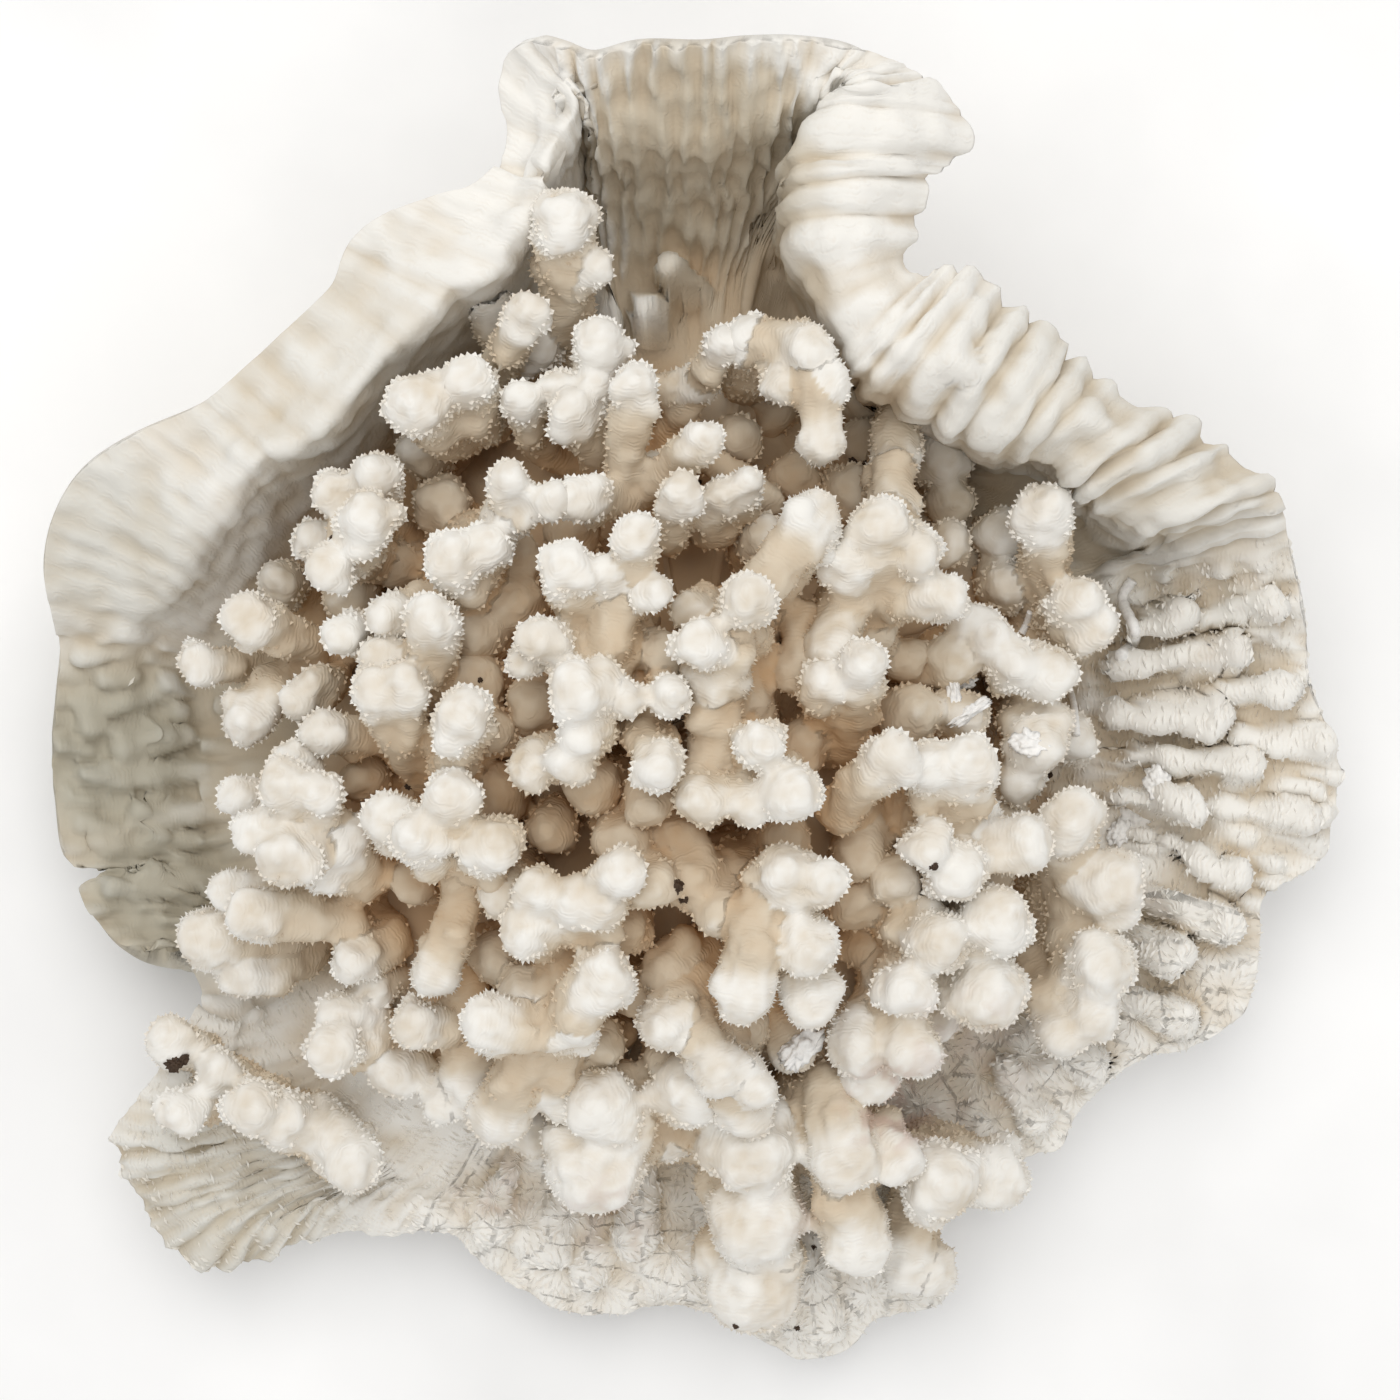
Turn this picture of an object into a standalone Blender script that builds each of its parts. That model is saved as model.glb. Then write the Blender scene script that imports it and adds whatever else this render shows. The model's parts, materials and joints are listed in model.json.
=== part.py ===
"""A plate coral with a thicket of finger branches, resting on the flat face where it was cut from the rock.

The plate is a lofted bowl: a flared lip on the left, a funnel wall at the back, a rolled and pleated
wall on the right and a low front. The thicket is split at its main forks, one solid for each fork.
Lengths are in millimetres until the meshes are made. X points right, Y to the back and Z up.
"""

import math
import random

import bmesh
import bpy
import numpy as np
from mathutils import Vector

MM = 0.001
SIGHT_HEIGHT = 800.0  # the places below are noted as seen from this far above the foot

PLATE_LEVEL = 22.0  # the plate's upper face where the mound ends
MOUND_MIDDLE = (-12.0, -8.0)
MOUND_TOP = 62.0  # the forks are grown together up to this height in the middle
MOUND_REACH = 112.0
MOUND_RINGS = (0.18, 0.45, 0.75)  # where its section is set, as parts of the way out to the wall's foot
FOOT_REACH = (58.0, 52.0)  # half width and half depth of the flat cut
FOOT_DEPTH = -4.0  # the loft runs on below the cut, which is then made flat at zero
FOOT_FLARE = 4.2
FOOT_RINGS = (0.0, 0.12, 0.35, 0.7)  # from the cut out to the wall's foot
RIM_THICKNESS = 3.6
WALL_THICKNESS = 5.5
FLOOR_THICKNESS = 9.0
WALL_REACH = 0.72  # part of the way out from the wall's foot to its top, the wall has risen only this much
WALL_RISE = 0.50

PLEAT_PITCH = 10.0
PLEAT_DEPTH = 1.0
PLEAT_SWAYS = ((1.6, 23.0), (1.1, 11.0))  # how far the pleats wander along the rim, and over what length
ROLL_PITCH = 9.0
ROLL_DEPTH = 1.9
RINGS_AROUND = 420
RINGS_OUT = 33
PROFILE_SPANS = 7  # spans between the points of a section of the plate
FOOT_SHARE = 3 / PROFILE_SPANS  # the wall's foot, as a share of the way out
TOP_SHARE = 5 / PROFILE_SPANS
PLATE_VOXEL = 1.5
PLATE_TRIANGLES = 2900

FINGER_VOXEL = 1.5
SOFTEN_SHARE = 0.5  # how far melted skins are evened out at each of a few turns
SOFTEN_TURNS = 3
SHARP_ANGLE = 60.0  # degrees between faces that shade as an edge
FINGER_SWELL = 1.10  # makes up for what melting the shapes together takes off
FINGER_WAIST = 0.84  # a finger's base against its tip
STEM_MIDDLE = 1.05
STEM_FOOT = 1.45
STEM_BEND = 0.55  # where a stem thins, from its root up to a finger's base
ROOT_DEPTH = 7.0  # how far a stem runs into the mound before it is cut to it
TRIANGLES_EACH_LIMB = 19
GAP = 0.7  # between two pieces
MOST_SHELL = 2.0  # sharp corners of a cutter are pushed out further, up to this many gaps

DOME_TOP = 110.0
DOME_FALL = 0.0050  # how fast the thicket's height falls, by the square of the way out
DOME_REACH = 112.0
UNDERGROWTH_TRIES = 4000
UNDERGROWTH_SPACING = 10.0  # the least distance between two of its fingers
UNDERGROWTH_CLEAR = 7.8  # the least distance to a listed finger
UNDERGROWTH_DROP = (14.0, 30.0)  # how far its tips stay below the dome
UNDERGROWTH_LENGTH = 17.0
UNDERGROWTH_LEAN = 7.0
UNDERGROWTH_RADIUS = (4.8, 6.4)
UNDERGROWTH_SEED = 5
LOWEST_TIP = 40.0

IVORY = (0.78, 0.72, 0.60, 1.0)
BONE = (0.84, 0.80, 0.71, 1.0)

# Each line is one place on the rim, anticlockwise from the middle of the back: the rim, the top of the
# wall and the foot of the wall, each as right, back and height, and how far the lip crowns between them.
STATIONS = (
    (0, 163, 104, 0, 137, 86, 0, 102, 44, 0),
    (-15, 163, 103, -14, 137, 84, -11, 102, 42, 0),
    (-27, 160, 101, -24, 137, 82, -20, 103, 42, 0),
    (-36, 163, 100, -28, 146, 92, -24, 110, 46, 0),
    (-44, 164, 94, -31, 152, 98, -27, 122, 48, -2),
    (-49, 160, 88, -31, 146, 97, -29, 116, 44, -3),
    (-50, 150, 84, -34, 141, 95, -32, 110, 38, -3),
    (-48, 137, 82, -38, 134, 93, -35, 104, 34, -2),
    (-55, 130, 84, -39, 126, 90, -39, 97, 32, -2),
    (-67, 126, 84, -44, 117, 88, -44, 90, 30, -2),
    (-80, 121, 83, -50, 108, 86, -50, 82, 30, -2),
    (-88, 114, 81, -62, 101, 84, -56, 76, 30, -2),
    (-92, 104, 79, -74, 90, 82, -64, 67, 29, -2),
    (-102, 94, 77, -84, 80, 80, -72, 58, 27, -2),
    (-113, 84, 75, -94, 67, 78, -82, 50, 26, -2),
    (-125, 74, 73, -109, 60, 75, -92, 40, 25, -2),
    (-142, 66, 70, -118, 49, 70, -99, 32, 24, -2),
    (-155, 57, 66, -126, 39, 64, -104, 25, 24, -2),
    (-162, 45, 62, -131, 31, 58, -108, 19, 23, -2),
    (-164, 32, 57, -136, 24, 51, -111, 14, 23, -2),
    (-162, 21, 50, -141, 18, 44, -114, 9, 22, -1),
    (-160, 13, 40, -142, 10, 35, -117, 3, 22, 0),
    (-161, 0, 35, -141, -2, 30, -120, -9, 20, 0),
    (-162, -13, 33, -142, -14, 28, -122, -19, 20, 0),
    (-161, -25, 32, -142, -26, 27, -121, -30, 20, 0),
    (-158, -40, 31, -142, -40, 26, -120, -40, 20, 0),
    (-148, -42, 27, -138, -43, 25, -119, -46, 20, 0),
    (-155, -47, 30, -140, -49, 26, -118, -51, 20, 0),
    (-150, -56, 28, -137, -55, 25, -116, -55, 20, 0),
    (-143, -62, 27, -133, -60, 24, -115, -58, 20, 0),
    (-129, -65, 26, -123, -66, 24, -111, -63, 21, 0),
    (-124, -76, 26, -116, -75, 26, -106, -71, 23, 0),
    (-128, -81, 33, -116, -83, 33, -104, -78, 26, 1),
    (-136, -86, 36, -121, -90, 36, -100, -85, 28, 2),
    (-136, -93, 36, -121, -97, 37, -98, -90, 29, 2),
    (-141, -100, 35, -124, -103, 37, -95, -95, 29, 2),
    (-147, -110, 33, -129, -111, 36, -95, -102, 29, 2),
    (-141, -123, 31, -125, -119, 35, -92, -107, 28, 2),
    (-136, -132, 29, -120, -124, 34, -89, -111, 27, 2),
    (-126, -141, 27, -113, -129, 32, -85, -114, 26, 2),
    (-113, -141, 25, -103, -129, 30, -80, -115, 25, 1),
    (-102, -136, 24, -94, -126, 28, -75, -115, 24, 1),
    (-90, -133, 23, -84, -125, 27, -69, -115, 23, 1),
    (-77, -134, 22, -72, -126, 26, -62, -116, 22, 1),
    (-63, -134, 22, -61, -126, 26, -55, -116, 22, 1),
    (-53, -142, 20, -50, -131, 25, -46, -116, 22, 1),
    (-43, -147, 19, -41, -134, 25, -39, -117, 22, 1),
    (-32, -153, 18, -30, -137, 25, -30, -118, 22, 1),
    (-19, -153, 18, -18, -138, 25, -18, -119, 22, 1),
    (-3, -152, 18, -3, -139, 25, -4, -120, 22, 1),
    (10, -157, 17, 10, -142, 24, 7, -122, 22, 1),
    (24, -165, 17, 23, -147, 24, 19, -123, 22, 1),
    (37, -162, 18, 35, -146, 24, 29, -122, 22, 1),
    (45, -154, 19, 42, -140, 24, 36, -119, 22, 1),
    (61, -150, 21, 50, -136, 24, 43, -116, 22, 1),
    (59, -134, 22, 52, -126, 24, 47, -111, 22, 1),
    (65, -127, 22, 59, -119, 25, 51, -105, 22, 1),
    (80, -126, 24, 68, -115, 28, 56, -99, 23, 1),
    (80, -116, 26, 71, -107, 29, 61, -93, 23, 1),
    (90, -112, 27, 79, -102, 29, 65, -88, 23, 1),
    (96, -101, 28, 85, -94, 29, 69, -80, 23, 1),
    (110, -90, 30, 95, -84, 29, 72, -73, 22, 1),
    (122, -87, 30, 104, -76, 28, 76, -65, 22, 1),
    (136, -78, 30, 112, -69, 28, 79, -58, 22, 1),
    (140, -60, 31, 117, -55, 28, 80, -48, 22, 1),
    (141, -49, 32, 120, -43, 29, 80, -38, 22, 1),
    (155, -40, 32, 126, -33, 30, 80, -28, 22, 1),
    (159, -26, 34, 129, -21, 31, 80, -19, 22, 1),
    (158, -11, 36, 130, -11, 32, 79, -11, 22, 1),
    (155, -3, 38, 129, -3, 33, 78, -4, 23, 1),
    (152, 5, 41, 127, 9, 35, 75, 3, 23, 1),
    (151, 20, 46, 126, 20, 38, 74, 10, 24, 1),
    (148, 35, 53, 124, 31, 43, 78, 20, 24, 2),
    (146, 45, 59, 121, 39, 51, 90, 29, 26, 4),
    (144, 52, 62, 117, 42, 63, 105, 34, 28, 8),
    (134, 60, 65, 105, 47, 69, 98, 38, 26, 10),
    (121, 70, 68, 95, 54, 74, 90, 46, 25, 11),
    (105, 76, 71, 87, 61, 78, 83, 53, 25, 12),
    (92, 87, 75, 76, 62, 81, 73, 55, 25, 12),
    (85, 95, 78, 66, 67, 83, 62, 59, 25, 12),
    (76, 100, 80, 57, 72, 85, 53, 64, 26, 12),
    (71, 106, 82, 49, 77, 87, 46, 69, 27, 12),
    (62, 107, 84, 41, 81, 88, 38, 74, 28, 11),
    (53, 106, 85, 35, 92, 89, 31, 84, 31, 9),
    (52, 112, 86, 27, 105, 91, 24, 96, 35, 9),
    (55, 120, 87, 22, 119, 93, 20, 101, 39, 9),
    (57, 131, 89, 22, 129, 95, 18, 104, 42, 9),
    (67, 138, 88, 24, 138, 97, 17, 106, 44, 8),
    (66, 146, 90, 30, 147, 99, 16, 108, 46, 7),
    (56, 155, 94, 36, 152, 101, 15, 110, 48, 4),
    (43, 162, 100, 34, 154, 99, 13, 110, 48, 1),
    (26, 164, 104, 22, 146, 92, 10, 106, 46, 0),
    (12, 164, 105, 11, 140, 88, 5, 103, 45, 0),
)
ROLL_SPAN = (73, 90)  # the lines of the rolled wall, whose pleats are deeper

LOBE_TAPER = 0.55  # a lobe's start against its tip

# Lobes on the plate, each from where it starts to where it points: right, back, height, then radius.
PLATE_LOBES = (
    ((104, 9, 33), (133, 12, 44), 4.8),
    ((104, -4, 32), (128, -5, 42), 5.2),
    ((128, 1, 36), (146, 3, 43), 4.2),
    ((108, 17, 38), (121, 22, 44), 4.2),
    ((126, 21, 40), (143, 24, 50), 4.0),
    ((110, -14, 30), (137, -17, 38), 4.8),
    ((128, -26, 30), (150, -29, 37), 4.4),
    ((136, -9, 35), (156, -11, 37), 5.2),
    ((106, -24, 32), (122, -26, 40), 5.0),
    ((118, -36, 30), (133, -44, 38), 5.0),
    ((112, -50, 28), (130, -56, 38), 5.6),
    ((104, -60, 28), (118, -64, 38), 6.0),
    ((106, -74, 28), (120, -80, 36), 5.0),
    ((-136, 14, 27), (-149, 11, 32), 4.2),
    ((-130, 3, 24), (-152, -1, 31), 4.6),
    ((-128, -9, 22), (-143, -11, 27), 4.8),
    ((-124, -18, 21), (-147, -19, 28), 4.4),
    ((-122, -28, 21), (-139, -29, 26), 4.6),
    ((-126, -35, 21), (-148, -34, 27), 4.2),
    ((-122, -44, 21), (-140, -46, 26), 4.6),
    ((65, 92, 92), (65, 84, 94), 4.6),
    ((-6, 94, 46), (-12, 98, 62), 5.5),
    ((4, 98, 44), (-7, 108, 60), 4.0),
    ((-14, -120, 21), (-16, -133, 23), 6.2),
    ((-24, -130, 19), (-27, -142, 21), 5.6),
    ((-34, -124, 20), (-37, -137, 22), 5.6),
    ((-3, -134, 20), (-4, -146, 20), 5.2),
    ((26, -140, 20), (31, -156, 20), 5.6),
    ((-48, -118, 21), (-52, -130, 23), 5.4),
    ((86, -80, 26), (98, -91, 30), 5.4),
    ((76, -92, 26), (84, -104, 29), 5.2),
)

# Each fork has the place where its stem leaves the plate, the stem's radius, and its fingers. A finger is
# its base and its tip, each as right, back and height, then its radius.
FORKS = {
    "branch_crown": ((-18, 12), 7.0, (
        ((-20, 26, 86), (-18, 10, 84), 7.0),
        ((-28, 20, 88), (-34, 33, 108), 5.4),
        ((-26, 12, 86), (-40, 15, 104), 4.8),
        ((-22, 20, 88), (-23, 32, 105), 4.4),
        ((-20, 25, 92), (-15, 41, 112), 4.6),
        ((-20, 25, 98), (-25, 4, 92), 6.0),
        ((-19, 24, 94), (-11, 27, 106), 3.6),
        ((-26, 6, 88), (-30, 2, 107), 6.4),
        ((-22, 4, 92), (-18, 0, 105), 3.6),
        ((-38, 12, 92), (-44, 10, 98), 3.6),
        ((-24, -4, 84), (-29, -9, 103), 5.0),
        ((-26, -8, 84), (-33, -16, 100), 5.0),
        ((-26, -8, 84), (-42, -17, 95), 5.0),
        ((-16, -4, 86), (-10, -17, 105), 5.2),
        ((-12, 4, 88), (-7, 1, 104), 4.2),
    )),
    "branch_back": ((-16, 50), 6.5, (
        ((-18, 56, 70), (-12, 54, 72), 6.0),
        ((-20, 52, 80), (-16, 79, 98), 4.6),
        ((-24, 74, 66), (-25, 89, 84), 5.6),
        ((-30, 70, 68), (-36, 79, 82), 3.8),
        ((-27, 66, 70), (-27, 78, 84), 4.0),
        ((-40, 64, 64), (-45, 75, 82), 4.4),
        ((-26, 60, 70), (-32, 72, 86), 4.8),
        ((-20, 50, 82), (-31, 50, 94), 4.8),
        ((-14, 52, 80), (1, 65, 97), 4.2),
        ((-18, 76, 62), (0, 79, 70), 4.2),
        ((0, 79, 70), (6, 89, 82), 4.0),
        ((-8, 40, 84), (-5, 52, 100), 4.4),
        ((2, 42, 80), (5, 51, 92), 3.8),
        ((6, 42, 78), (12, 54, 91), 3.8),
        ((0, 62, 70), (17, 50, 68), 4.0),
    )),
    "branch_back_left": ((-48, 74), 6.0, (
        ((-33, 95, 66), (-34, 120, 92), 6.4),
        ((-33, 102, 76), (-26, 109, 86), 3.8),
        ((-51, 82, 68), (-43, 97, 84), 4.4),
        ((-50, 88, 56), (-53, 101, 67), 4.6),
        ((-62, 66, 62), (-70, 74, 84), 6.4),
        ((-54, 68, 64), (-58, 80, 84), 5.2),
        ((-44, 84, 54), (-40, 88, 66), 5.0),
    )),
    "branch_back_right": ((14, 76), 5.5, (
        ((10, 80, 62), (12, 91, 82), 4.8),
        ((12, 90, 78), (27, 88, 92), 5.2),
        ((27, 86, 90), (31, 64, 90), 4.8),
        ((18, 84, 82), (21, 79, 88), 4.2),
        ((26, 84, 90), (33, 79, 92), 4.0),
    )),
    "branch_centre_right": ((16, -2), 7.0, (
        ((10, 16, 82), (10, -4, 80), 7.5),
        ((10, 20, 100), (28, 46, 100), 5.6),
        ((10, 20, 98), (4, 4, 96), 6.2),
        ((4, 4, 96), (4, -11, 90), 5.6),
        ((6, 12, 92), (0, 14, 107), 5.4),
        ((10, 20, 92), (12, 25, 108), 5.4),
        ((4, 24, 80), (-2, 22, 92), 4.6),
        ((10, -10, 84), (15, -11, 103), 4.8),
        ((12, -16, 82), (12, -26, 97), 4.8),
        ((16, -18, 80), (23, -23, 101), 6.0),
        ((4, -18, 78), (0, -25, 97), 5.6),
        ((26, 22, 82), (24, 6, 84), 4.0),
        ((20, 28, 84), (29, 42, 98), 4.8),
        ((36, -14, 68), (41, 9, 94), 5.0),
        ((32, -6, 70), (31, 4, 90), 5.2),
    )),
    "branch_wall": ((44, 34), 6.0, (
        ((50, 76, 60), (48, 56, 72), 5.2),
        ((48, 56, 72), (47, 44, 80), 5.6),
        ((47, 46, 80), (54, 37, 93), 5.2),
        ((42, 24, 76), (45, 43, 95), 6.6),
        ((38, 20, 76), (37, 35, 92), 5.6),
        ((36, 26, 78), (33, 14, 86), 6.0),
        ((46, 24, 78), (61, 26, 89), 5.2),
        ((44, 28, 70), (42, 18, 72), 7.0),
    )),
    "branch_right": ((78, 16), 6.0, (
        ((72, 12, 52), (67, 19, 63), 4.8),
        ((74, 10, 54), (73, 15, 66), 4.8),
        ((76, 8, 54), (78, 9, 67), 5.2),
        ((78, 6, 52), (87, 7, 64), 6.0),
        ((87, 26, 46), (86, 47, 70), 6.0),
        ((88, 18, 46), (95, 25, 62), 5.6),
        ((90, 14, 46), (99, 18, 60), 4.8),
        ((80, -2, 46), (84, -11, 60), 7.0),
        ((80, -10, 44), (80, -21, 56), 5.0),
    )),
    "branch_right_middle": ((54, -20), 7.0, (
        ((56, -28, 66), (66, -30, 66), 8.5),
        ((34, -28, 78), (48, -14, 94), 5.4),
        ((58, -26, 72), (57, -16, 88), 5.6),
        ((64, -27, 72), (67, -16, 88), 6.2),
        ((58, -32, 70), (57, -37, 84), 5.0),
        ((66, -38, 64), (81, -36, 74), 6.4),
        ((64, -38, 66), (64, -43, 80), 6.0),
        ((44, -30, 62), (40, -38, 68), 6.5),
    )),
    "branch_right_front": ((84, -52), 6.0, (
        ((90, -44, 46), (92, -30, 62), 6.8),
        ((92, -48, 46), (102, -46, 55), 7.8),
        ((92, -58, 44), (100, -67, 56), 7.2),
        ((92, -66, 42), (98, -78, 52), 6.2),
        ((84, -68, 40), (91, -83, 50), 5.8),
    )),
    "branch_front_right": ((54, -58), 6.5, (
        ((54, -64, 60), (50, -72, 60), 8.0),
        ((50, -56, 62), (59, -60, 77), 6.4),
        ((66, -56, 56), (74, -55, 73), 7.2),
        ((64, -66, 52), (72, -73, 66), 8.2),
        ((50, -68, 62), (52, -72, 74), 6.0),
        ((48, -76, 62), (53, -87, 68), 6.6),
        ((44, -76, 56), (40, -86, 64), 7.0),
        ((44, -82, 52), (42, -93, 58), 6.2),
    )),
    "branch_front_middle": ((14, -58), 7.0, (
        ((20, -46, 78), (18, -56, 76), 8.0),
        ((18, -46, 84), (21, -44, 90), 6.5),
        ((14, -52, 86), (11, -74, 87), 6.0),
        ((22, -54, 80), (27, -62, 88), 6.0),
        ((24, -60, 76), (28, -75, 80), 6.0),
        ((26, -44, 80), (31, -46, 92), 5.0),
        ((-2, -64, 62), (-7, -68, 66), 7.0),
        ((0, -70, 66), (-9, -81, 76), 5.6),
        ((-2, -80, 72), (5, -92, 74), 6.0),
        ((5, -92, 72), (12, -104, 64), 5.4),
        ((8, -90, 70), (13, -97, 72), 5.0),
        ((18, -76, 56), (24, -88, 60), 4.8),
    )),
    "branch_front": ((12, -104), 8.0, (
        ((-12, -100, 46), (10, -104, 42), 8.0),
        ((-20, -102, 50), (-25, -101, 62), 8.0),
        ((-20, -106, 46), (-26, -116, 54), 10.5),
        ((-6, -98, 50), (-3, -97, 62), 8.0),
        ((12, -108, 44), (13, -112, 54), 9.6),
        ((13, -116, 40), (14, -130, 46), 10.5),
        ((13, -130, 34), (13, -146, 36), 10.8),
        ((32, -98, 54), (36, -114, 58), 7.6),
        ((35, -114, 50), (39, -135, 48), 7.6),
        ((40, -106, 46), (49, -115, 54), 6.2),
    )),
    "front_edge_knobs": ((58, -114), 5.0, (
        ((56, -116, 32), (60, -120, 46), 8.6),
        ((62, -114, 30), (73, -119, 37), 7.8),
        ((54, -122, 28), (52, -141, 30), 6.4),
        ((54, -136, 26), (58, -143, 29), 5.6),
    )),
    "branch_front_left": ((-38, -72), 7.0, (
        ((-31, -62, 70), (-37, -78, 68), 7.5),
        ((-38, -84, 72), (-53, -81, 80), 5.8),
        ((-36, -82, 74), (-24, -70, 86), 6.4),
        ((-38, -84, 72), (-31, -81, 78), 6.0),
        ((-42, -86, 70), (-51, -104, 58), 6.2),
        ((-36, -86, 68), (-35, -99, 58), 5.6),
        ((-34, -56, 74), (-41, -47, 89), 5.0),
        ((-34, -58, 74), (-44, -58, 85), 5.4),
        ((-28, -56, 76), (-25, -50, 90), 6.0),
        ((-26, -50, 80), (-20, -43, 95), 5.4),
        ((-30, -56, 76), (-31, -50, 89), 5.4),
    )),
    "branch_front_low": ((-60, -84), 6.0, (
        ((-59, -70, 56), (-58, -98, 50), 6.2),
        ((-58, -82, 54), (-71, -81, 65), 5.0),
        ((-60, -92, 46), (-64, -100, 50), 4.8),
        ((-78, -84, 44), (-89, -80, 54), 6.4),
        ((-84, -84, 44), (-92, -88, 61), 5.6),
        ((-70, -88, 40), (-76, -93, 49), 5.6),
    )),
    "branch_left_lower": ((-88, -46), 7.0, (
        ((-84, -42, 60), (-92, -36, 68), 8.0),
        ((-96, -36, 70), (-111, -33, 75), 5.2),
        ((-94, -36, 70), (-104, -39, 80), 6.0),
        ((-94, -30, 66), (-104, -21, 80), 5.8),
        ((-92, -30, 68), (-96, -23, 82), 4.8),
        ((-100, -30, 54), (-115, -24, 62), 4.8),
        ((-94, -24, 58), (-102, -15, 70), 4.8),
        ((-88, -56, 56), (-112, -53, 66), 5.6),
        ((-90, -48, 52), (-117, -48, 58), 4.8),
        ((-104, -58, 42), (-123, -60, 52), 6.8),
        ((-100, -64, 38), (-114, -67, 47), 6.4),
        ((-76, -60, 52), (-86, -65, 59), 5.2),
    )),
    "branch_left_middle": ((-62, -22), 7.0, (
        ((-58, -42, 74), (-60, -34, 72), 7.5),
        ((-64, -38, 74), (-78, -30, 85), 5.4),
        ((-62, -40, 76), (-71, -34, 91), 5.4),
        ((-60, -34, 76), (-62, -24, 93), 5.6),
        ((-56, -42, 76), (-51, -36, 91), 6.0),
        ((-59, -50, 72), (-66, -68, 72), 5.4),
        ((-62, -18, 76), (-59, -4, 98), 6.0),
        ((-72, -15, 70), (-74, 4, 92), 5.2),
        ((-74, -12, 70), (-81, 2, 90), 5.0),
        ((-78, -10, 62), (-95, -8, 72), 4.6),
        ((-68, 2, 74), (-67, 20, 94), 5.6),
        ((-72, 0, 68), (-79, 11, 84), 5.0),
    )),
    "branch_left": ((-92, 10), 6.0, (
        ((-98, 14, 54), (-113, 20, 68), 5.6),
        ((-110, 8, 42), (-126, 9, 52), 4.6),
        ((-104, 6, 50), (-113, -5, 58), 5.6),
        ((-92, 2, 58), (-101, -1, 66), 3.8),
        ((-90, 4, 58), (-96, 5, 66), 3.6),
        ((-80, 18, 68), (-89, 16, 80), 4.6),
    )),
    "branch_left_upper": ((-70, 36), 6.0, (
        ((-86, 36, 68), (-83, 45, 85), 6.2),
        ((-86, 36, 70), (-93, 33, 82), 4.8),
        ((-84, 46, 58), (-91, 52, 74), 4.8),
        ((-80, 46, 60), (-81, 56, 76), 5.2),
        ((-88, 36, 52), (-97, 40, 62), 4.8),
        ((-57, 39, 74), (-47, 47, 89), 4.8),
        ((-47, 47, 88), (-48, 55, 97), 4.4),
        ((-47, 47, 88), (-38, 50, 97), 4.4),
        ((-58, 26, 76), (-62, 35, 93), 5.6),
        ((-54, 30, 76), (-54, 38, 92), 4.8),
        ((-62, 25, 74), (-79, 21, 86), 4.4),
    )),
    "wing_knobs": ((-108, -100), 5.0, (
        ((-122, -90, 34), (-132, -85, 44), 5.4),
        ((-120, -100, 34), (-131, -103, 46), 5.0),
        ((-114, -94, 34), (-121, -93, 43), 5.0),
        ((-108, -100, 36), (-112, -102, 51), 6.0),
        ((-102, -106, 34), (-105, -105, 46), 6.0),
        ((-94, -108, 32), (-87, -115, 44), 6.6),
        ((-98, -104, 34), (-92, -108, 42), 6.0),
    )),
}


def clear_scene():
    for obj in list(bpy.data.objects):
        bpy.data.objects.remove(obj, do_unlink=True)


def skeleton_material(name, colour):
    """Matt, faintly waxy aragonite."""
    material = bpy.data.materials.new(name)
    material.use_nodes = True
    shader = material.node_tree.nodes["Principled BSDF"]
    shader.inputs["Base Color"].default_value = colour
    shader.inputs["Roughness"].default_value = 0.8
    shader.inputs["Metallic"].default_value = 0.0
    return material


def place(right, back, height):
    """The true point of a place noted from above, which looks further out the higher it lies."""
    shrink = 1 - height / SIGHT_HEIGHT
    return Vector((right * shrink, back * shrink, height))


def smooth_loop(points, count):
    """A closed smooth curve through the points, read at evenly spaced places along it."""
    points = np.asarray(points, float)
    steps = np.arange(0, len(points), 0.05)
    dense = np.array([spline(points, step, True) for step in steps])
    spans = np.linalg.norm(np.diff(dense[:, :3], axis=0, append=dense[:1, :3]), axis=1)
    reach = np.concatenate(([0.0], np.cumsum(spans)))
    wanted = np.linspace(0, reach[-1], count, endpoint=False)
    ring = np.concatenate((dense, dense[:1]))
    found = [np.interp(wanted, reach, ring[:, column]) for column in range(ring.shape[1])]
    return np.stack(found, axis=1)


def spline(points, position, closed):
    """The point of a Catmull-Rom curve through the rows of points, at a position counted in rows."""
    last = len(points)
    start = int(math.floor(position))
    part = position - start
    rows = [start - 1, start, start + 1, start + 2]
    rows = [row % last if closed else min(max(row, 0), last - 1) for row in rows]
    before, here, after, beyond = (points[row] for row in rows)
    return 0.5 * (
        2 * here
        + (after - before) * part
        + (2 * before - 5 * here + 4 * after - beyond) * part**2
        + (3 * here - before - 3 * after + beyond) * part**3
    )


def station_rows():
    """Each station as one row: rim, wall top and wall foot in true millimetres, the crown and the roll."""
    rows = []
    for number, line in enumerate(STATIONS):
        rim, top, foot = (place(*line[at : at + 3]) for at in (0, 3, 6))
        rolled = 1.0 if ROLL_SPAN[0] <= number <= ROLL_SPAN[1] else 0.0
        rows.append((*rim, *top, *foot, line[9], rolled))
    return rows


def mound_height(right, back, floor):
    """How high the mound of grown-together forks stands over a floor."""
    out = math.dist((right, back), MOUND_MIDDLE) / MOUND_REACH
    return floor + (MOUND_TOP - floor) * max(0.0, 1 - out**2)


def profile(row):
    """The section of the plate's upper face at one place round the rim, from its middle to the rim."""
    rim, top, foot = row[0:3], row[3:6], row[6:9]
    mound = []
    for share in MOUND_RINGS:
        right, back = foot[0] * share, foot[1] * share
        mound.append((right, back, mound_height(right, back, foot[2])))
    lip = (top + rim) / 2 + np.array((0, 0, row[9]))
    wall = foot + (top - foot) * (WALL_REACH, WALL_REACH, WALL_RISE)
    return np.array((*mound, foot, wall, top, lip, rim))


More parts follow.
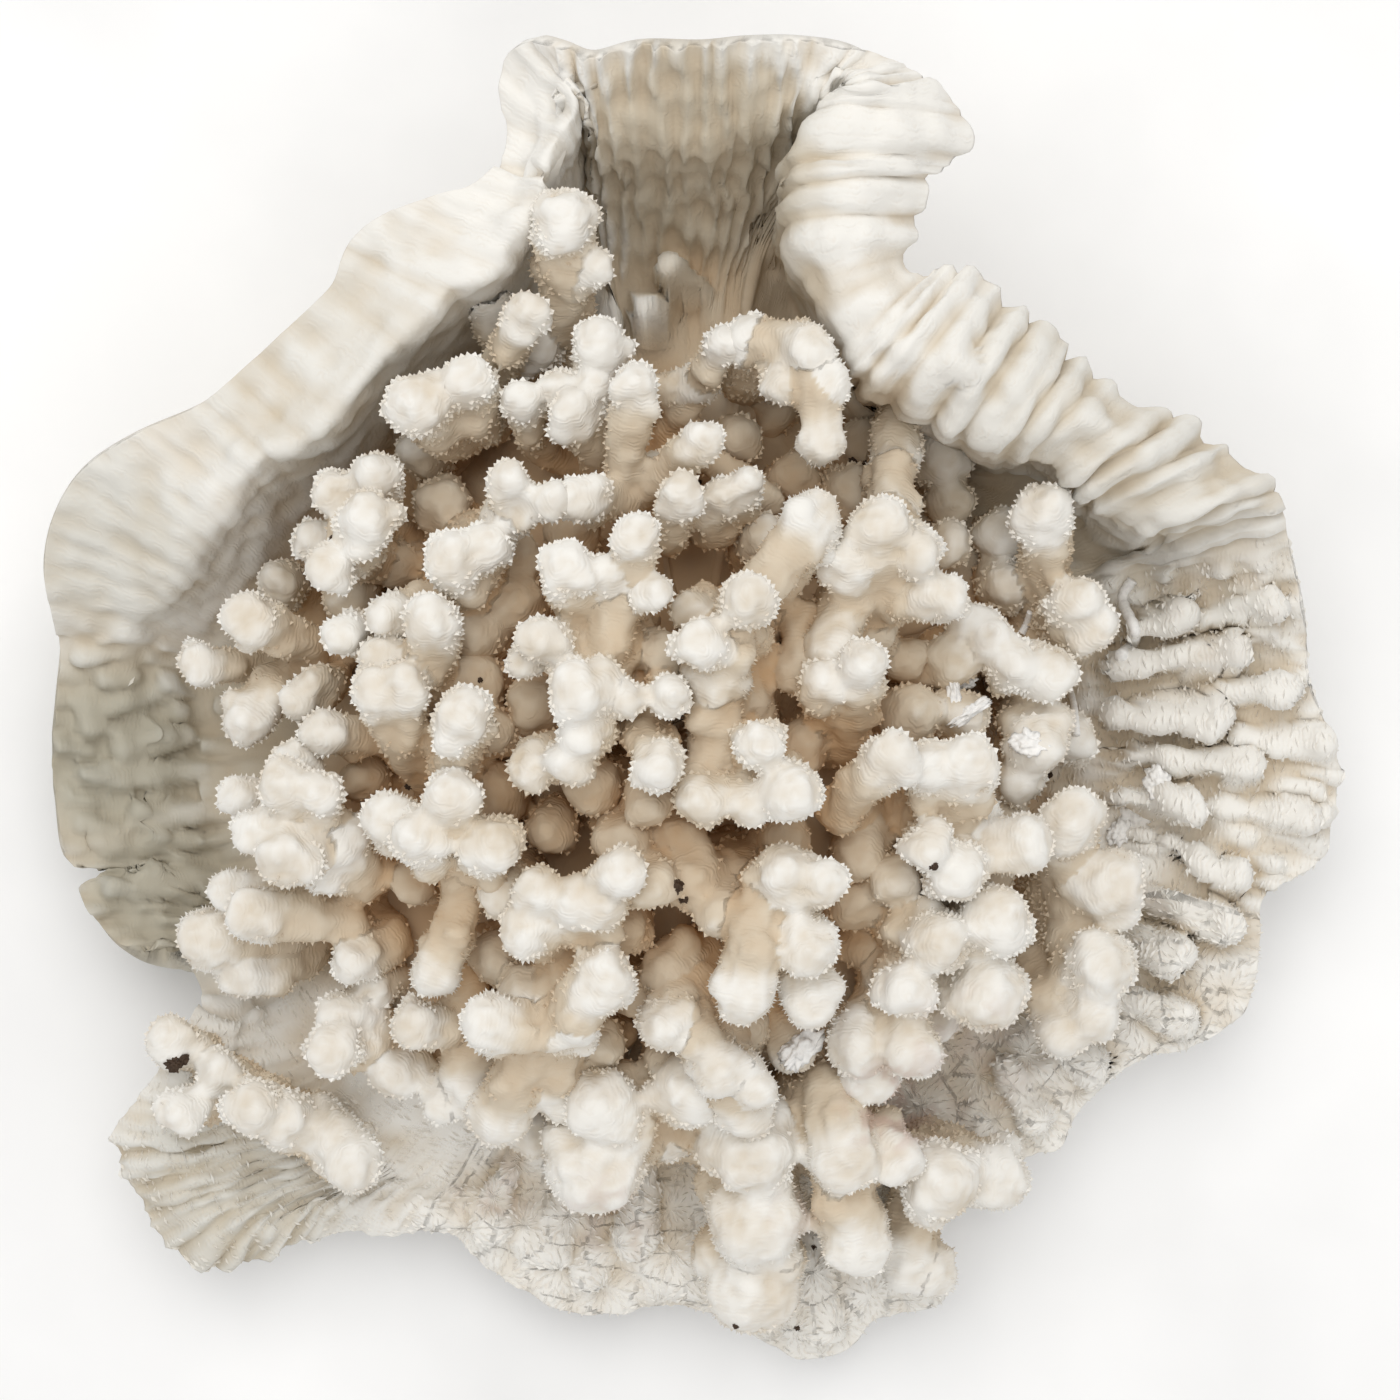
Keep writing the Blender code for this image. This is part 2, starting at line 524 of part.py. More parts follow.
def pleats(row, reach, outward):
    """How far the pleats stand proud at a distance along the rim, and a share of the way out."""
    (wide, slow), (narrow, quick) = PLEAT_SWAYS
    sway = wide * math.sin(reach / slow) + narrow * math.sin(reach / quick + 3 * outward)
    pitch = PLEAT_PITCH + (ROLL_PITCH - PLEAT_PITCH) * row[10]
    depth = PLEAT_DEPTH + (ROLL_DEPTH - PLEAT_DEPTH) * row[10]
    fade = min(1.0, max(0.0, (outward - FOOT_SHARE) / (TOP_SHARE - FOOT_SHARE)))
    return depth * fade * math.cos(2 * math.pi * (reach + sway) / pitch)


def plate_surfaces():
    """The plate's upper and lower faces as two grids of points, from the middle ring out to the rim."""
    rows = smooth_loop(station_rows(), RINGS_AROUND)
    upper = np.empty((RINGS_OUT, RINGS_AROUND, 3))
    steps = np.linspace(0, PROFILE_SPANS, RINGS_OUT)
    for around, row in enumerate(rows):
        section = profile(row)
        for out, step in enumerate(steps):
            upper[out, around] = spline(section, step, False)
    across = np.roll(upper, -1, axis=1) - np.roll(upper, 1, axis=1)
    outward = np.gradient(upper, axis=0)
    normals = np.cross(outward, across)
    normals /= np.linalg.norm(normals, axis=2, keepdims=True) + 1e-9
    spans = np.linalg.norm(np.diff(rows[:, :3], axis=0, append=rows[:1, :3]), axis=1)
    reach = np.cumsum(spans)
    share = steps / steps[-1]
    thickness = np.interp(
        share, (FOOT_SHARE, TOP_SHARE, 1), (FLOOR_THICKNESS, WALL_THICKNESS, RIM_THICKNESS)
    )
    lower = upper - normals * thickness[:, None, None]
    for around, row in enumerate(rows):
        for out in range(RINGS_OUT):
            upper[out, around] += normals[out, around] * pleats(row, reach[around], share[out])
    foot_ring = np.argmin(abs(share - FOOT_SHARE))
    return upper, lower[foot_ring:]


def foot_rings(lower):
    """Rings of the underside between the wall's foot and the cut, which flares like a short pedestal."""
    rings = []
    for share in FOOT_RINGS:
        ring = np.empty_like(lower[0])
        for around, end in enumerate(lower[0]):
            angle = math.atan2(end[1], end[0])
            cut = np.array((FOOT_REACH[0] * math.cos(angle), FOOT_REACH[1] * math.sin(angle), FOOT_DEPTH))
            point = cut + (end - cut) * share
            point[2] += FOOT_FLARE * math.sin(math.pi * share)
            ring[around] = point
        rings.append(ring)
    return np.array(rings)


def loft_mesh(name, rings, first_cap, last_cap):
    """One closed mesh through rings of points, closed at both ends by a fan to a single point."""
    count = rings.shape[1]
    points = [tuple(point) for ring in rings for point in ring] + [first_cap, last_cap]
    faces = []
    for ring in range(len(rings) - 1):
        for around in range(count):
            after = (around + 1) % count
            here, above = ring * count, (ring + 1) * count
            faces.append((here + around, here + after, above + after, above + around))
    first, last = len(points) - 2, len(points) - 1
    end = (len(rings) - 1) * count
    for around in range(count):
        after = (around + 1) % count
        faces.append((first, after, around))
        faces.append((last, end + around, end + after))
    mesh = bpy.data.meshes.new(name)
    mesh.from_pydata(points, [], faces)
    return mesh


def ball_directions():
    """Unit vectors spread evenly over a ball."""
    shape = bmesh.new()
    ball = bmesh.ops.create_icosphere(shape, subdivisions=2, radius=1.0)
    directions = [vert.co.copy() for vert in ball["verts"]]
    shape.free()
    return directions


def add_limb(shape, start, end, start_radius, end_radius):
    """A tapered finger with round ends: the hull of a ball at each end."""
    points = []
    for centre, radius in ((start, start_radius), (end, end_radius)):
        points += [shape.verts.new(centre + direction * radius) for direction in BALL]
    hull = bmesh.ops.convex_hull(shape, input=points)
    inside = hull["geom_interior"] + hull["geom_unused"]
    spare = {item for item in inside if isinstance(item, bmesh.types.BMVert)}
    bmesh.ops.delete(shape, geom=list(spare), context="VERTS")


def object_of(name, mesh):
    obj = bpy.data.objects.new(name, mesh)
    bpy.context.scene.collection.objects.link(obj)
    return obj


def bake(obj):
    """Puts the result of the object's modifiers into its mesh, and takes them off."""
    bpy.context.view_layer.update()
    graph = bpy.context.evaluated_depsgraph_get()
    mesh = bpy.data.meshes.new_from_object(obj.evaluated_get(graph))
    obj.modifiers.clear()
    obj.data = mesh


def keep_largest(obj):
    """Leaves only the largest body, so that no chip or inner shell stays behind."""
    shape = bmesh.new()
    shape.from_mesh(obj.data)
    left = set(shape.verts)
    bodies = []
    while left:
        body, edge_of = set(), [left.pop()]
        while edge_of:
            vert = edge_of.pop()
            body.add(vert)
            near = {edge.other_vert(vert) for edge in vert.link_edges} & left
            left -= near
            edge_of.extend(near)
        bodies.append(body)
    bodies.sort(key=len)
    for body in bodies[:-1]:
        bmesh.ops.delete(shape, geom=list(body), context="VERTS")
    bmesh.ops.recalc_face_normals(shape, faces=shape.faces)
    shape.to_mesh(obj.data)
    shape.free()


def fuse(obj, voxel, triangles):
    """Melts the shapes in the object into one skin and thins it to about the number of triangles."""
    remesh = obj.modifiers.new("fuse", "REMESH")
    remesh.mode = "VOXEL"
    remesh.voxel_size = voxel * MM
    remesh.use_smooth_shade = True
    soften = obj.modifiers.new("soften", "SMOOTH")
    soften.factor = SOFTEN_SHARE
    soften.iterations = SOFTEN_TURNS
    bake(obj)
    keep_largest(obj)
    thin = obj.modifiers.new("thin", "DECIMATE")
    thin.ratio = triangles / (2 * len(obj.data.polygons))
    bake(obj)


def scaled(shape):
    bmesh.ops.scale(shape, vec=(MM, MM, MM), verts=shape.verts)


def make_plate(material):
    upper, lower = plate_surfaces()
    rings = np.concatenate((upper, lower[::-1], foot_rings(lower)[::-1]))
    mesh = loft_mesh("plate", rings, (*MOUND_MIDDLE, MOUND_TOP), (0.0, 0.0, FOOT_DEPTH))
    shape = bmesh.new()
    shape.from_mesh(mesh)
    for start, end, radius in PLATE_LOBES:
        add_limb(shape, place(*start), place(*end), radius * LOBE_TAPER, radius)
    scaled(shape)
    bmesh.ops.recalc_face_normals(shape, faces=shape.faces)
    shape.to_mesh(mesh)
    shape.free()
    plate = object_of("plate", mesh)
    fuse(plate, PLATE_VOXEL, PLATE_TRIANGLES)
    cut_foot_flat(plate)
    plate.data.materials.clear()
    plate.data.materials.append(material)
    return plate


def cut_foot_flat(plate):
    """The flat face where the colony was cut from the rock."""
    shape = bmesh.new()
    shape.from_mesh(plate.data)
    everything = shape.verts[:] + shape.edges[:] + shape.faces[:]
    upward = (0, 0, 1)
    cut = bmesh.ops.bisect_plane(
        shape, geom=everything, plane_co=(0, 0, 0), plane_no=upward, clear_inner=True
    )
    edges = [item for item in cut["geom_cut"] if isinstance(item, bmesh.types.BMEdge)]
    bmesh.ops.contextual_create(shape, geom=edges)
    bmesh.ops.recalc_face_normals(shape, faces=shape.faces)
    shape.to_mesh(plate.data)
    shape.free()


def undergrowth():
    """Shorter fingers scattered where the listed ones leave the dome bare, for each fork."""
    chance = random.Random(UNDERGROWTH_SEED)
    added = {name: [] for name in FORKS}
    taken = []
    for _, _, fingers in FORKS.values():
        for base, tip, _ in fingers:
            middle = ((base[0] + tip[0]) / 2, (base[1] + tip[1]) / 2)
            taken += [base[:2], middle, tip[:2]]
    grown_spots = []
    for _ in range(UNDERGROWTH_TRIES):
        right = MOUND_MIDDLE[0] + chance.uniform(-DOME_REACH, DOME_REACH)
        back = MOUND_MIDDLE[1] + chance.uniform(-DOME_REACH, DOME_REACH)
        drop = chance.uniform(*UNDERGROWTH_DROP)
        radius = chance.uniform(*UNDERGROWTH_RADIUS)
        out = math.dist((right, back), MOUND_MIDDLE)
        height = DOME_TOP - DOME_FALL * out**2 - drop
        if out > DOME_REACH or height < LOWEST_TIP:
            continue
        if min(math.dist((right, back), spot) for spot in taken) < UNDERGROWTH_CLEAR:
            continue
        if any(math.dist((right, back), spot) < UNDERGROWTH_SPACING for spot in grown_spots):
            continue
        grown_spots.append((right, back))
        lean = UNDERGROWTH_LEAN / max(out, UNDERGROWTH_LEAN)
        base = (
            right - (right - MOUND_MIDDLE[0]) * lean,
            back - (back - MOUND_MIDDLE[1]) * lean,
            height - UNDERGROWTH_LENGTH,
        )
        fork = min(FORKS, key=lambda name: math.dist(FORKS[name][0], (right, back)))
        added[fork].append((base, (right, back, height), radius))
    return added


def make_fork(name, root, stem_radius, fingers, material):
    """One fork of the thicket: its fingers, and a stem from the base of each down to the shared root."""
    shape = bmesh.new()
    foot = place(*root, mound_height(*root, PLATE_LEVEL) - ROOT_DEPTH)
    for base_place, tip_place, radius in fingers:
        base, tip = place(*base_place), place(*tip_place)
        thick = radius * FINGER_SWELL
        waist = thick * FINGER_WAIST
        add_limb(shape, base, tip, waist, thick)
        middle = foot.lerp(base, STEM_BEND)
        add_limb(shape, middle, base, waist * STEM_MIDDLE, waist)
        add_limb(shape, foot, middle, max(stem_radius, waist * STEM_FOOT), waist * STEM_MIDDLE)
    scaled(shape)
    bmesh.ops.recalc_face_normals(shape, faces=shape.faces)
    mesh = bpy.data.meshes.new(name)
    shape.to_mesh(mesh)
    shape.free()
    fork = object_of(name, mesh)
    fuse(fork, FINGER_VOXEL, TRIANGLES_EACH_LIMB * len(fingers))
    fork.data.materials.clear()
    fork.data.materials.append(material)
    return fork


def grown(obj):
    """A hidden copy of the object that stands a gap proud of it all over, to cut its neighbours with."""
    copy = object_of(obj.name + "_cutter", obj.data.copy())
    copy.hide_render = True
    copy.display_type = "WIRE"
    shape = bmesh.new()
    shape.from_mesh(copy.data)
    moves = [vert.normal * min(MOST_SHELL, vert.calc_shell_factor()) * GAP * MM for vert in shape.verts]
    for vert, move in zip(shape.verts, moves):
        vert.co += move
    shape.to_mesh(copy.data)
    shape.free()
    return copy


def near(first, second):
    """Whether the boxes round two objects meet."""
    boxes = []
    for obj in (first, second):
        points = np.array([vert.co for vert in obj.data.vertices])
        boxes.append((points.min(axis=0), points.max(axis=0)))
    (low, high), (other_low, other_high) = boxes
    return bool((low < other_high).all() and (other_low < high).all())


def cut_clear(fork, cutters):
    """Cuts a fork back from what already stands round it, and keeps the piece that is left."""
    for cutter in cutters:
        if not near(fork, cutter):
            continue
        cut = fork.modifiers.new("clear", "BOOLEAN")
        cut.operation = "DIFFERENCE"
        cut.object = cutter
        cut.solver = "MANIFOLD"  # the exact solver loses a whole fork where thin pleats fold close together
        bake(fork)
        keep_largest(fork)


def shade(obj):
    obj.data.shade_smooth()
    obj.data.set_sharp_from_angle(angle=math.radians(SHARP_ANGLE))


def main():
    clear_scene()
    ivory = skeleton_material("ivory_skeleton", IVORY)
    bone = skeleton_material("bleached_fingers", BONE)
    plate = make_plate(ivory)
    cutters = [grown(plate)]
    forks = []
    lower = undergrowth()
    for name, (root, stem_radius, fingers) in FORKS.items():
        fork = make_fork(name, root, stem_radius, (*fingers, *lower[name]), bone)
        cut_clear(fork, cutters)
        cutters.append(grown(fork))
        forks.append(fork)
    for cutter in cutters:
        bpy.data.objects.remove(cutter, do_unlink=True)
    for obj in [plate, *forks]:
        shade(obj)


BALL = ball_directions()
main()
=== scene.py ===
"""The looks of a bleached plate coral: its skin, septa, growths, finish, light and camera.

The places are the ones that the solids were made from, as seen from straight above, in millimetres.
X points right, Y to the back and Z up. Meshes are in metres.
"""

import json
import math
import random

import bmesh
import bpy
import numpy as np
from mathutils import Matrix, Vector, noise
from mathutils.bvhtree import BVHTree

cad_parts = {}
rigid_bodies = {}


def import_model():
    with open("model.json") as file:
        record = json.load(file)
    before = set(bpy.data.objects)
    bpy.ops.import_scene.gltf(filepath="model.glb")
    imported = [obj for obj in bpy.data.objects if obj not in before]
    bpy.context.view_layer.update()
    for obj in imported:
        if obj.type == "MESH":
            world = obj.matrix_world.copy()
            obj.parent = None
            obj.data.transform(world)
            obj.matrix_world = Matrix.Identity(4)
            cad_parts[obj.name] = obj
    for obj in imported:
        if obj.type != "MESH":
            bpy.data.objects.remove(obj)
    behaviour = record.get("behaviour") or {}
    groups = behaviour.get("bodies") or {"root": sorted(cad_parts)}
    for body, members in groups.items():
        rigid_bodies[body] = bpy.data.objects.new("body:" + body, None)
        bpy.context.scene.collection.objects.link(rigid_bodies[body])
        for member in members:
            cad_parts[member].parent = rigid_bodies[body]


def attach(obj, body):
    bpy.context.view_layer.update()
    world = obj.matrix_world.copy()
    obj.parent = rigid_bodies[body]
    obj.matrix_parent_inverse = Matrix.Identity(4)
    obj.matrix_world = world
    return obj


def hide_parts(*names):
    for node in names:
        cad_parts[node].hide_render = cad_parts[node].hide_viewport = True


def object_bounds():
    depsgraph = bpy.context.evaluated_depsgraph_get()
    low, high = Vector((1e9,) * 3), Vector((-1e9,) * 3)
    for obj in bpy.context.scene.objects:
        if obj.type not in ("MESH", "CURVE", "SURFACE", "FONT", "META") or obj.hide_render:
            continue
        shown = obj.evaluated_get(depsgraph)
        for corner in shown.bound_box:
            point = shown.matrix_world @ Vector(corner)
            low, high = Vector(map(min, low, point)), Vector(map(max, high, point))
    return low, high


bl_info = {
    "name": "Plate coral",
    "version": (1, 0, 0),
    "blender": (4, 5, 0),
    "location": "View3D > Sidebar > Coral",
    "description": "Builds the skin, septa and growths of a bleached plate coral, and its studio",
    "category": "Add Mesh",
}

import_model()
CAD_BOX = [list(corner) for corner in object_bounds()]

MM = 0.001
SIGHT_HEIGHT = 800.0  # the places are noted as seen from this far above the foot
PHOTO_WIDTH = 350.0  # millimetres across the photo, at the foot's level

# The plate, in the same measures as the solids.
PLATE_LEVEL = 22.0  # height of the plate's floor
MOUND_MIDDLE = (-12.0, -8.0)
MOUND_TOP = 62.0  # height of the mound of grown-together stems
MOUND_REACH = 112.0  # how far the mound spreads before it meets the floor
MOUND_RINGS = (0.18, 0.45, 0.75)  # parts of the way from the middle to the wall's foot
FOOT_REACH = (58.0, 52.0)  # half width and half depth of the flat cut
FOOT_FLARE = 4.2  # how far the underside swells between the cut and the wall
FOOT_RINGS = (0.0, 0.12, 0.35, 0.7)  # parts of the way from the cut to the wall's foot
CUT_SINK = 4.0  # how far below the table the cut's ring is drawn, before it is pressed flat
RIM_THICKNESS = 3.6
WALL_THICKNESS = 5.5
FLOOR_THICKNESS = 9.0
WALL_REACH = 0.72  # how far out the middle of the wall lies, from its foot to its top
WALL_RISE = 0.50  # and how far up
PLEAT_PITCH = 10.0
PLEAT_DEPTH = 1.0
PLEAT_SWAYS = ((1.6, 23.0), (1.1, 11.0))  # how far the pleats sway, and over what length
ROLL_PITCH = 9.0  # the rolled wall's own pleats
ROLL_DEPTH = 1.9
PROFILE_SPANS = 7  # the section's spans, from the mound through foot, wall, wall top and lip to the rim
FOOT_SPAN = 3  # how many of them end at the wall's foot
TOP_SPAN = 5  # and how many at its top
FOOT_SHARE = FOOT_SPAN / PROFILE_SPANS
TOP_SHARE = TOP_SPAN / PROFILE_SPANS
LOBE_TAPER = 0.55  # a lobe's radius where it starts, as part of its radius at the tip
TINY = 1e-9  # added to a length that is divided by, so that it is never nought

# The fingers. A stem bends on its way to each finger's base.
FINGER_SWELL = 1.10  # thickness at the tip, against the listed radius
FINGER_WAIST = 0.84  # thickness at the base, against the tip's
STEM_MIDDLE = 1.05  # thickness at the bend, against the waist
STEM_FOOT = 1.45  # and at the root
STEM_BEND = 0.55  # part of the way from the root to the finger's base
ROOT_DEPTH = 7.0  # how deep a stem is rooted in the mound

# The shorter fingers between the listed ones, under a dome that falls off with the square of the distance.
DOME_TOP = 110.0
DOME_FALL = 0.0050
DOME_REACH = 112.0
UNDERGROWTH_TRIES = 4000
UNDERGROWTH_SPACING = 10.0
UNDERGROWTH_CLEAR = 7.8  # least distance from a listed finger
UNDERGROWTH_DROP = (14.0, 30.0)  # how far under the dome their tips end
UNDERGROWTH_LENGTH = 17.0
UNDERGROWTH_LEAN = 7.0  # how far a tip leans away from the middle
UNDERGROWTH_RADIUS = (4.8, 6.4)
UNDERGROWTH_SEED = 5
LOWEST_TIP = 40.0

# Each line is one place on the rim, anticlockwise from the middle of the back: the rim, the top of the
# wall and the foot of the wall, each as right, back and height, and how far the lip crowns between them.
STATIONS = (
    (0, 163, 104, 0, 137, 86, 0, 102, 44, 0),
    (-15, 163, 103, -14, 137, 84, -11, 102, 42, 0),
    (-27, 160, 101, -24, 137, 82, -20, 103, 42, 0),
    (-36, 163, 100, -28, 146, 92, -24, 110, 46, 0),
    (-44, 164, 94, -31, 152, 98, -27, 122, 48, -2),
    (-49, 160, 88, -31, 146, 97, -29, 116, 44, -3),
    (-50, 150, 84, -34, 141, 95, -32, 110, 38, -3),
    (-48, 137, 82, -38, 134, 93, -35, 104, 34, -2),
    (-55, 130, 84, -39, 126, 90, -39, 97, 32, -2),
    (-67, 126, 84, -44, 117, 88, -44, 90, 30, -2),
    (-80, 121, 83, -50, 108, 86, -50, 82, 30, -2),
    (-88, 114, 81, -62, 101, 84, -56, 76, 30, -2),
    (-92, 104, 79, -74, 90, 82, -64, 67, 29, -2),
    (-102, 94, 77, -84, 80, 80, -72, 58, 27, -2),
    (-113, 84, 75, -94, 67, 78, -82, 50, 26, -2),
    (-125, 74, 73, -109, 60, 75, -92, 40, 25, -2),
    (-142, 66, 70, -118, 49, 70, -99, 32, 24, -2),
    (-155, 57, 66, -126, 39, 64, -104, 25, 24, -2),
    (-162, 45, 62, -131, 31, 58, -108, 19, 23, -2),
    (-164, 32, 57, -136, 24, 51, -111, 14, 23, -2),
    (-162, 21, 50, -141, 18, 44, -114, 9, 22, -1),
    (-160, 13, 40, -142, 10, 35, -117, 3, 22, 0),
    (-161, 0, 35, -141, -2, 30, -120, -9, 20, 0),
    (-162, -13, 33, -142, -14, 28, -122, -19, 20, 0),
    (-161, -25, 32, -142, -26, 27, -121, -30, 20, 0),
    (-158, -40, 31, -142, -40, 26, -120, -40, 20, 0),
    (-148, -42, 27, -138, -43, 25, -119, -46, 20, 0),
    (-155, -47, 30, -140, -49, 26, -118, -51, 20, 0),
    (-150, -56, 28, -137, -55, 25, -116, -55, 20, 0),
    (-143, -62, 27, -133, -60, 24, -115, -58, 20, 0),
    (-129, -65, 26, -123, -66, 24, -111, -63, 21, 0),
    (-124, -76, 26, -116, -75, 26, -106, -71, 23, 0),
    (-128, -81, 33, -116, -83, 33, -104, -78, 26, 1),
    (-136, -86, 36, -121, -90, 36, -100, -85, 28, 2),
    (-136, -93, 36, -121, -97, 37, -98, -90, 29, 2),
    (-141, -100, 35, -124, -103, 37, -95, -95, 29, 2),
    (-147, -110, 33, -129, -111, 36, -95, -102, 29, 2),
    (-141, -123, 31, -125, -119, 35, -92, -107, 28, 2),
    (-136, -132, 29, -120, -124, 34, -89, -111, 27, 2),
    (-126, -141, 27, -113, -129, 32, -85, -114, 26, 2),
    (-113, -141, 25, -103, -129, 30, -80, -115, 25, 1),
    (-102, -136, 24, -94, -126, 28, -75, -115, 24, 1),
    (-90, -133, 23, -84, -125, 27, -69, -115, 23, 1),
    (-77, -134, 22, -72, -126, 26, -62, -116, 22, 1),
    (-63, -134, 22, -61, -126, 26, -55, -116, 22, 1),
    (-53, -142, 20, -50, -131, 25, -46, -116, 22, 1),
    (-43, -147, 19, -41, -134, 25, -39, -117, 22, 1),
    (-32, -153, 18, -30, -137, 25, -30, -118, 22, 1),
    (-19, -153, 18, -18, -138, 25, -18, -119, 22, 1),
    (-3, -152, 18, -3, -139, 25, -4, -120, 22, 1),
    (10, -157, 17, 10, -142, 24, 7, -122, 22, 1),
    (24, -165, 17, 23, -147, 24, 19, -123, 22, 1),
    (37, -162, 18, 35, -146, 24, 29, -122, 22, 1),
    (45, -154, 19, 42, -140, 24, 36, -119, 22, 1),
    (61, -150, 21, 50, -136, 24, 43, -116, 22, 1),
    (59, -134, 22, 52, -126, 24, 47, -111, 22, 1),
    (65, -127, 22, 59, -119, 25, 51, -105, 22, 1),
    (80, -126, 24, 68, -115, 28, 56, -99, 23, 1),
    (80, -116, 26, 71, -107, 29, 61, -93, 23, 1),
    (90, -112, 27, 79, -102, 29, 65, -88, 23, 1),
    (96, -101, 28, 85, -94, 29, 69, -80, 23, 1),
    (110, -90, 30, 95, -84, 29, 72, -73, 22, 1),
    (122, -87, 30, 104, -76, 28, 76, -65, 22, 1),
    (136, -78, 30, 112, -69, 28, 79, -58, 22, 1),
    (140, -60, 31, 117, -55, 28, 80, -48, 22, 1),
    (141, -49, 32, 120, -43, 29, 80, -38, 22, 1),
    (155, -40, 32, 126, -33, 30, 80, -28, 22, 1),
    (159, -26, 34, 129, -21, 31, 80, -19, 22, 1),
    (158, -11, 36, 130, -11, 32, 79, -11, 22, 1),
    (155, -3, 38, 129, -3, 33, 78, -4, 23, 1),
    (152, 5, 41, 127, 9, 35, 75, 3, 23, 1),
    (151, 20, 46, 126, 20, 38, 74, 10, 24, 1),
    (148, 35, 53, 124, 31, 43, 78, 20, 24, 2),
    (146, 45, 59, 121, 39, 51, 90, 29, 26, 4),
    (144, 52, 62, 117, 42, 63, 105, 34, 28, 8),
    (134, 60, 65, 105, 47, 69, 98, 38, 26, 10),
    (121, 70, 68, 95, 54, 74, 90, 46, 25, 11),
    (105, 76, 71, 87, 61, 78, 83, 53, 25, 12),
    (92, 87, 75, 76, 62, 81, 73, 55, 25, 12),
    (85, 95, 78, 66, 67, 83, 62, 59, 25, 12),
    (76, 100, 80, 57, 72, 85, 53, 64, 26, 12),
    (71, 106, 82, 49, 77, 87, 46, 69, 27, 12),
    (62, 107, 84, 41, 81, 88, 38, 74, 28, 11),
    (53, 106, 85, 35, 92, 89, 31, 84, 31, 9),
    (52, 112, 86, 27, 105, 91, 24, 96, 35, 9),
    (55, 120, 87, 22, 119, 93, 20, 101, 39, 9),
    (57, 131, 89, 22, 129, 95, 18, 104, 42, 9),
    (67, 138, 88, 24, 138, 97, 17, 106, 44, 8),
    (66, 146, 90, 30, 147, 99, 16, 108, 46, 7),
    (56, 155, 94, 36, 152, 101, 15, 110, 48, 4),
    (43, 162, 100, 34, 154, 99, 13, 110, 48, 1),
    (26, 164, 104, 22, 146, 92, 10, 106, 46, 0),
    (12, 164, 105, 11, 140, 88, 5, 103, 45, 0),
)
ROLL_SPAN = (73, 90)  # the lines of the rolled wall, whose pleats are deeper

# Lobes on the plate, each from where it starts to where it points: right, back, height, then radius.
PLATE_LOBES = (
    ((104, 9, 33), (133, 12, 44), 4.8),
    ((104, -4, 32), (128, -5, 42), 5.2),
    ((128, 1, 36), (146, 3, 43), 4.2),
    ((108, 17, 38), (121, 22, 44), 4.2),
    ((126, 21, 40), (143, 24, 50), 4.0),
    ((110, -14, 30), (137, -17, 38), 4.8),
    ((128, -26, 30), (150, -29, 37), 4.4),
    ((136, -9, 35), (156, -11, 37), 5.2),
    ((106, -24, 32), (122, -26, 40), 5.0),
    ((118, -36, 30), (133, -44, 38), 5.0),
    ((112, -50, 28), (130, -56, 38), 5.6),
    ((104, -60, 28), (118, -64, 38), 6.0),
    ((106, -74, 28), (120, -80, 36), 5.0),
    ((-136, 14, 27), (-149, 11, 32), 4.2),
    ((-130, 3, 24), (-152, -1, 31), 4.6),
    ((-128, -9, 22), (-143, -11, 27), 4.8),
    ((-124, -18, 21), (-147, -19, 28), 4.4),
    ((-122, -28, 21), (-139, -29, 26), 4.6),
    ((-126, -35, 21), (-148, -34, 27), 4.2),
    ((-122, -44, 21), (-140, -46, 26), 4.6),
    ((65, 92, 92), (65, 84, 94), 4.6),
    ((-6, 94, 46), (-12, 98, 62), 5.5),
    ((4, 98, 44), (-7, 108, 60), 4.0),
    ((-14, -120, 21), (-16, -133, 23), 6.2),
    ((-24, -130, 19), (-27, -142, 21), 5.6),
    ((-34, -124, 20), (-37, -137, 22), 5.6),
    ((-3, -134, 20), (-4, -146, 20), 5.2),
    ((26, -140, 20), (31, -156, 20), 5.6),
    ((-48, -118, 21), (-52, -130, 23), 5.4),
    ((86, -80, 26), (98, -91, 30), 5.4),
    ((76, -92, 26), (84, -104, 29), 5.2),
)

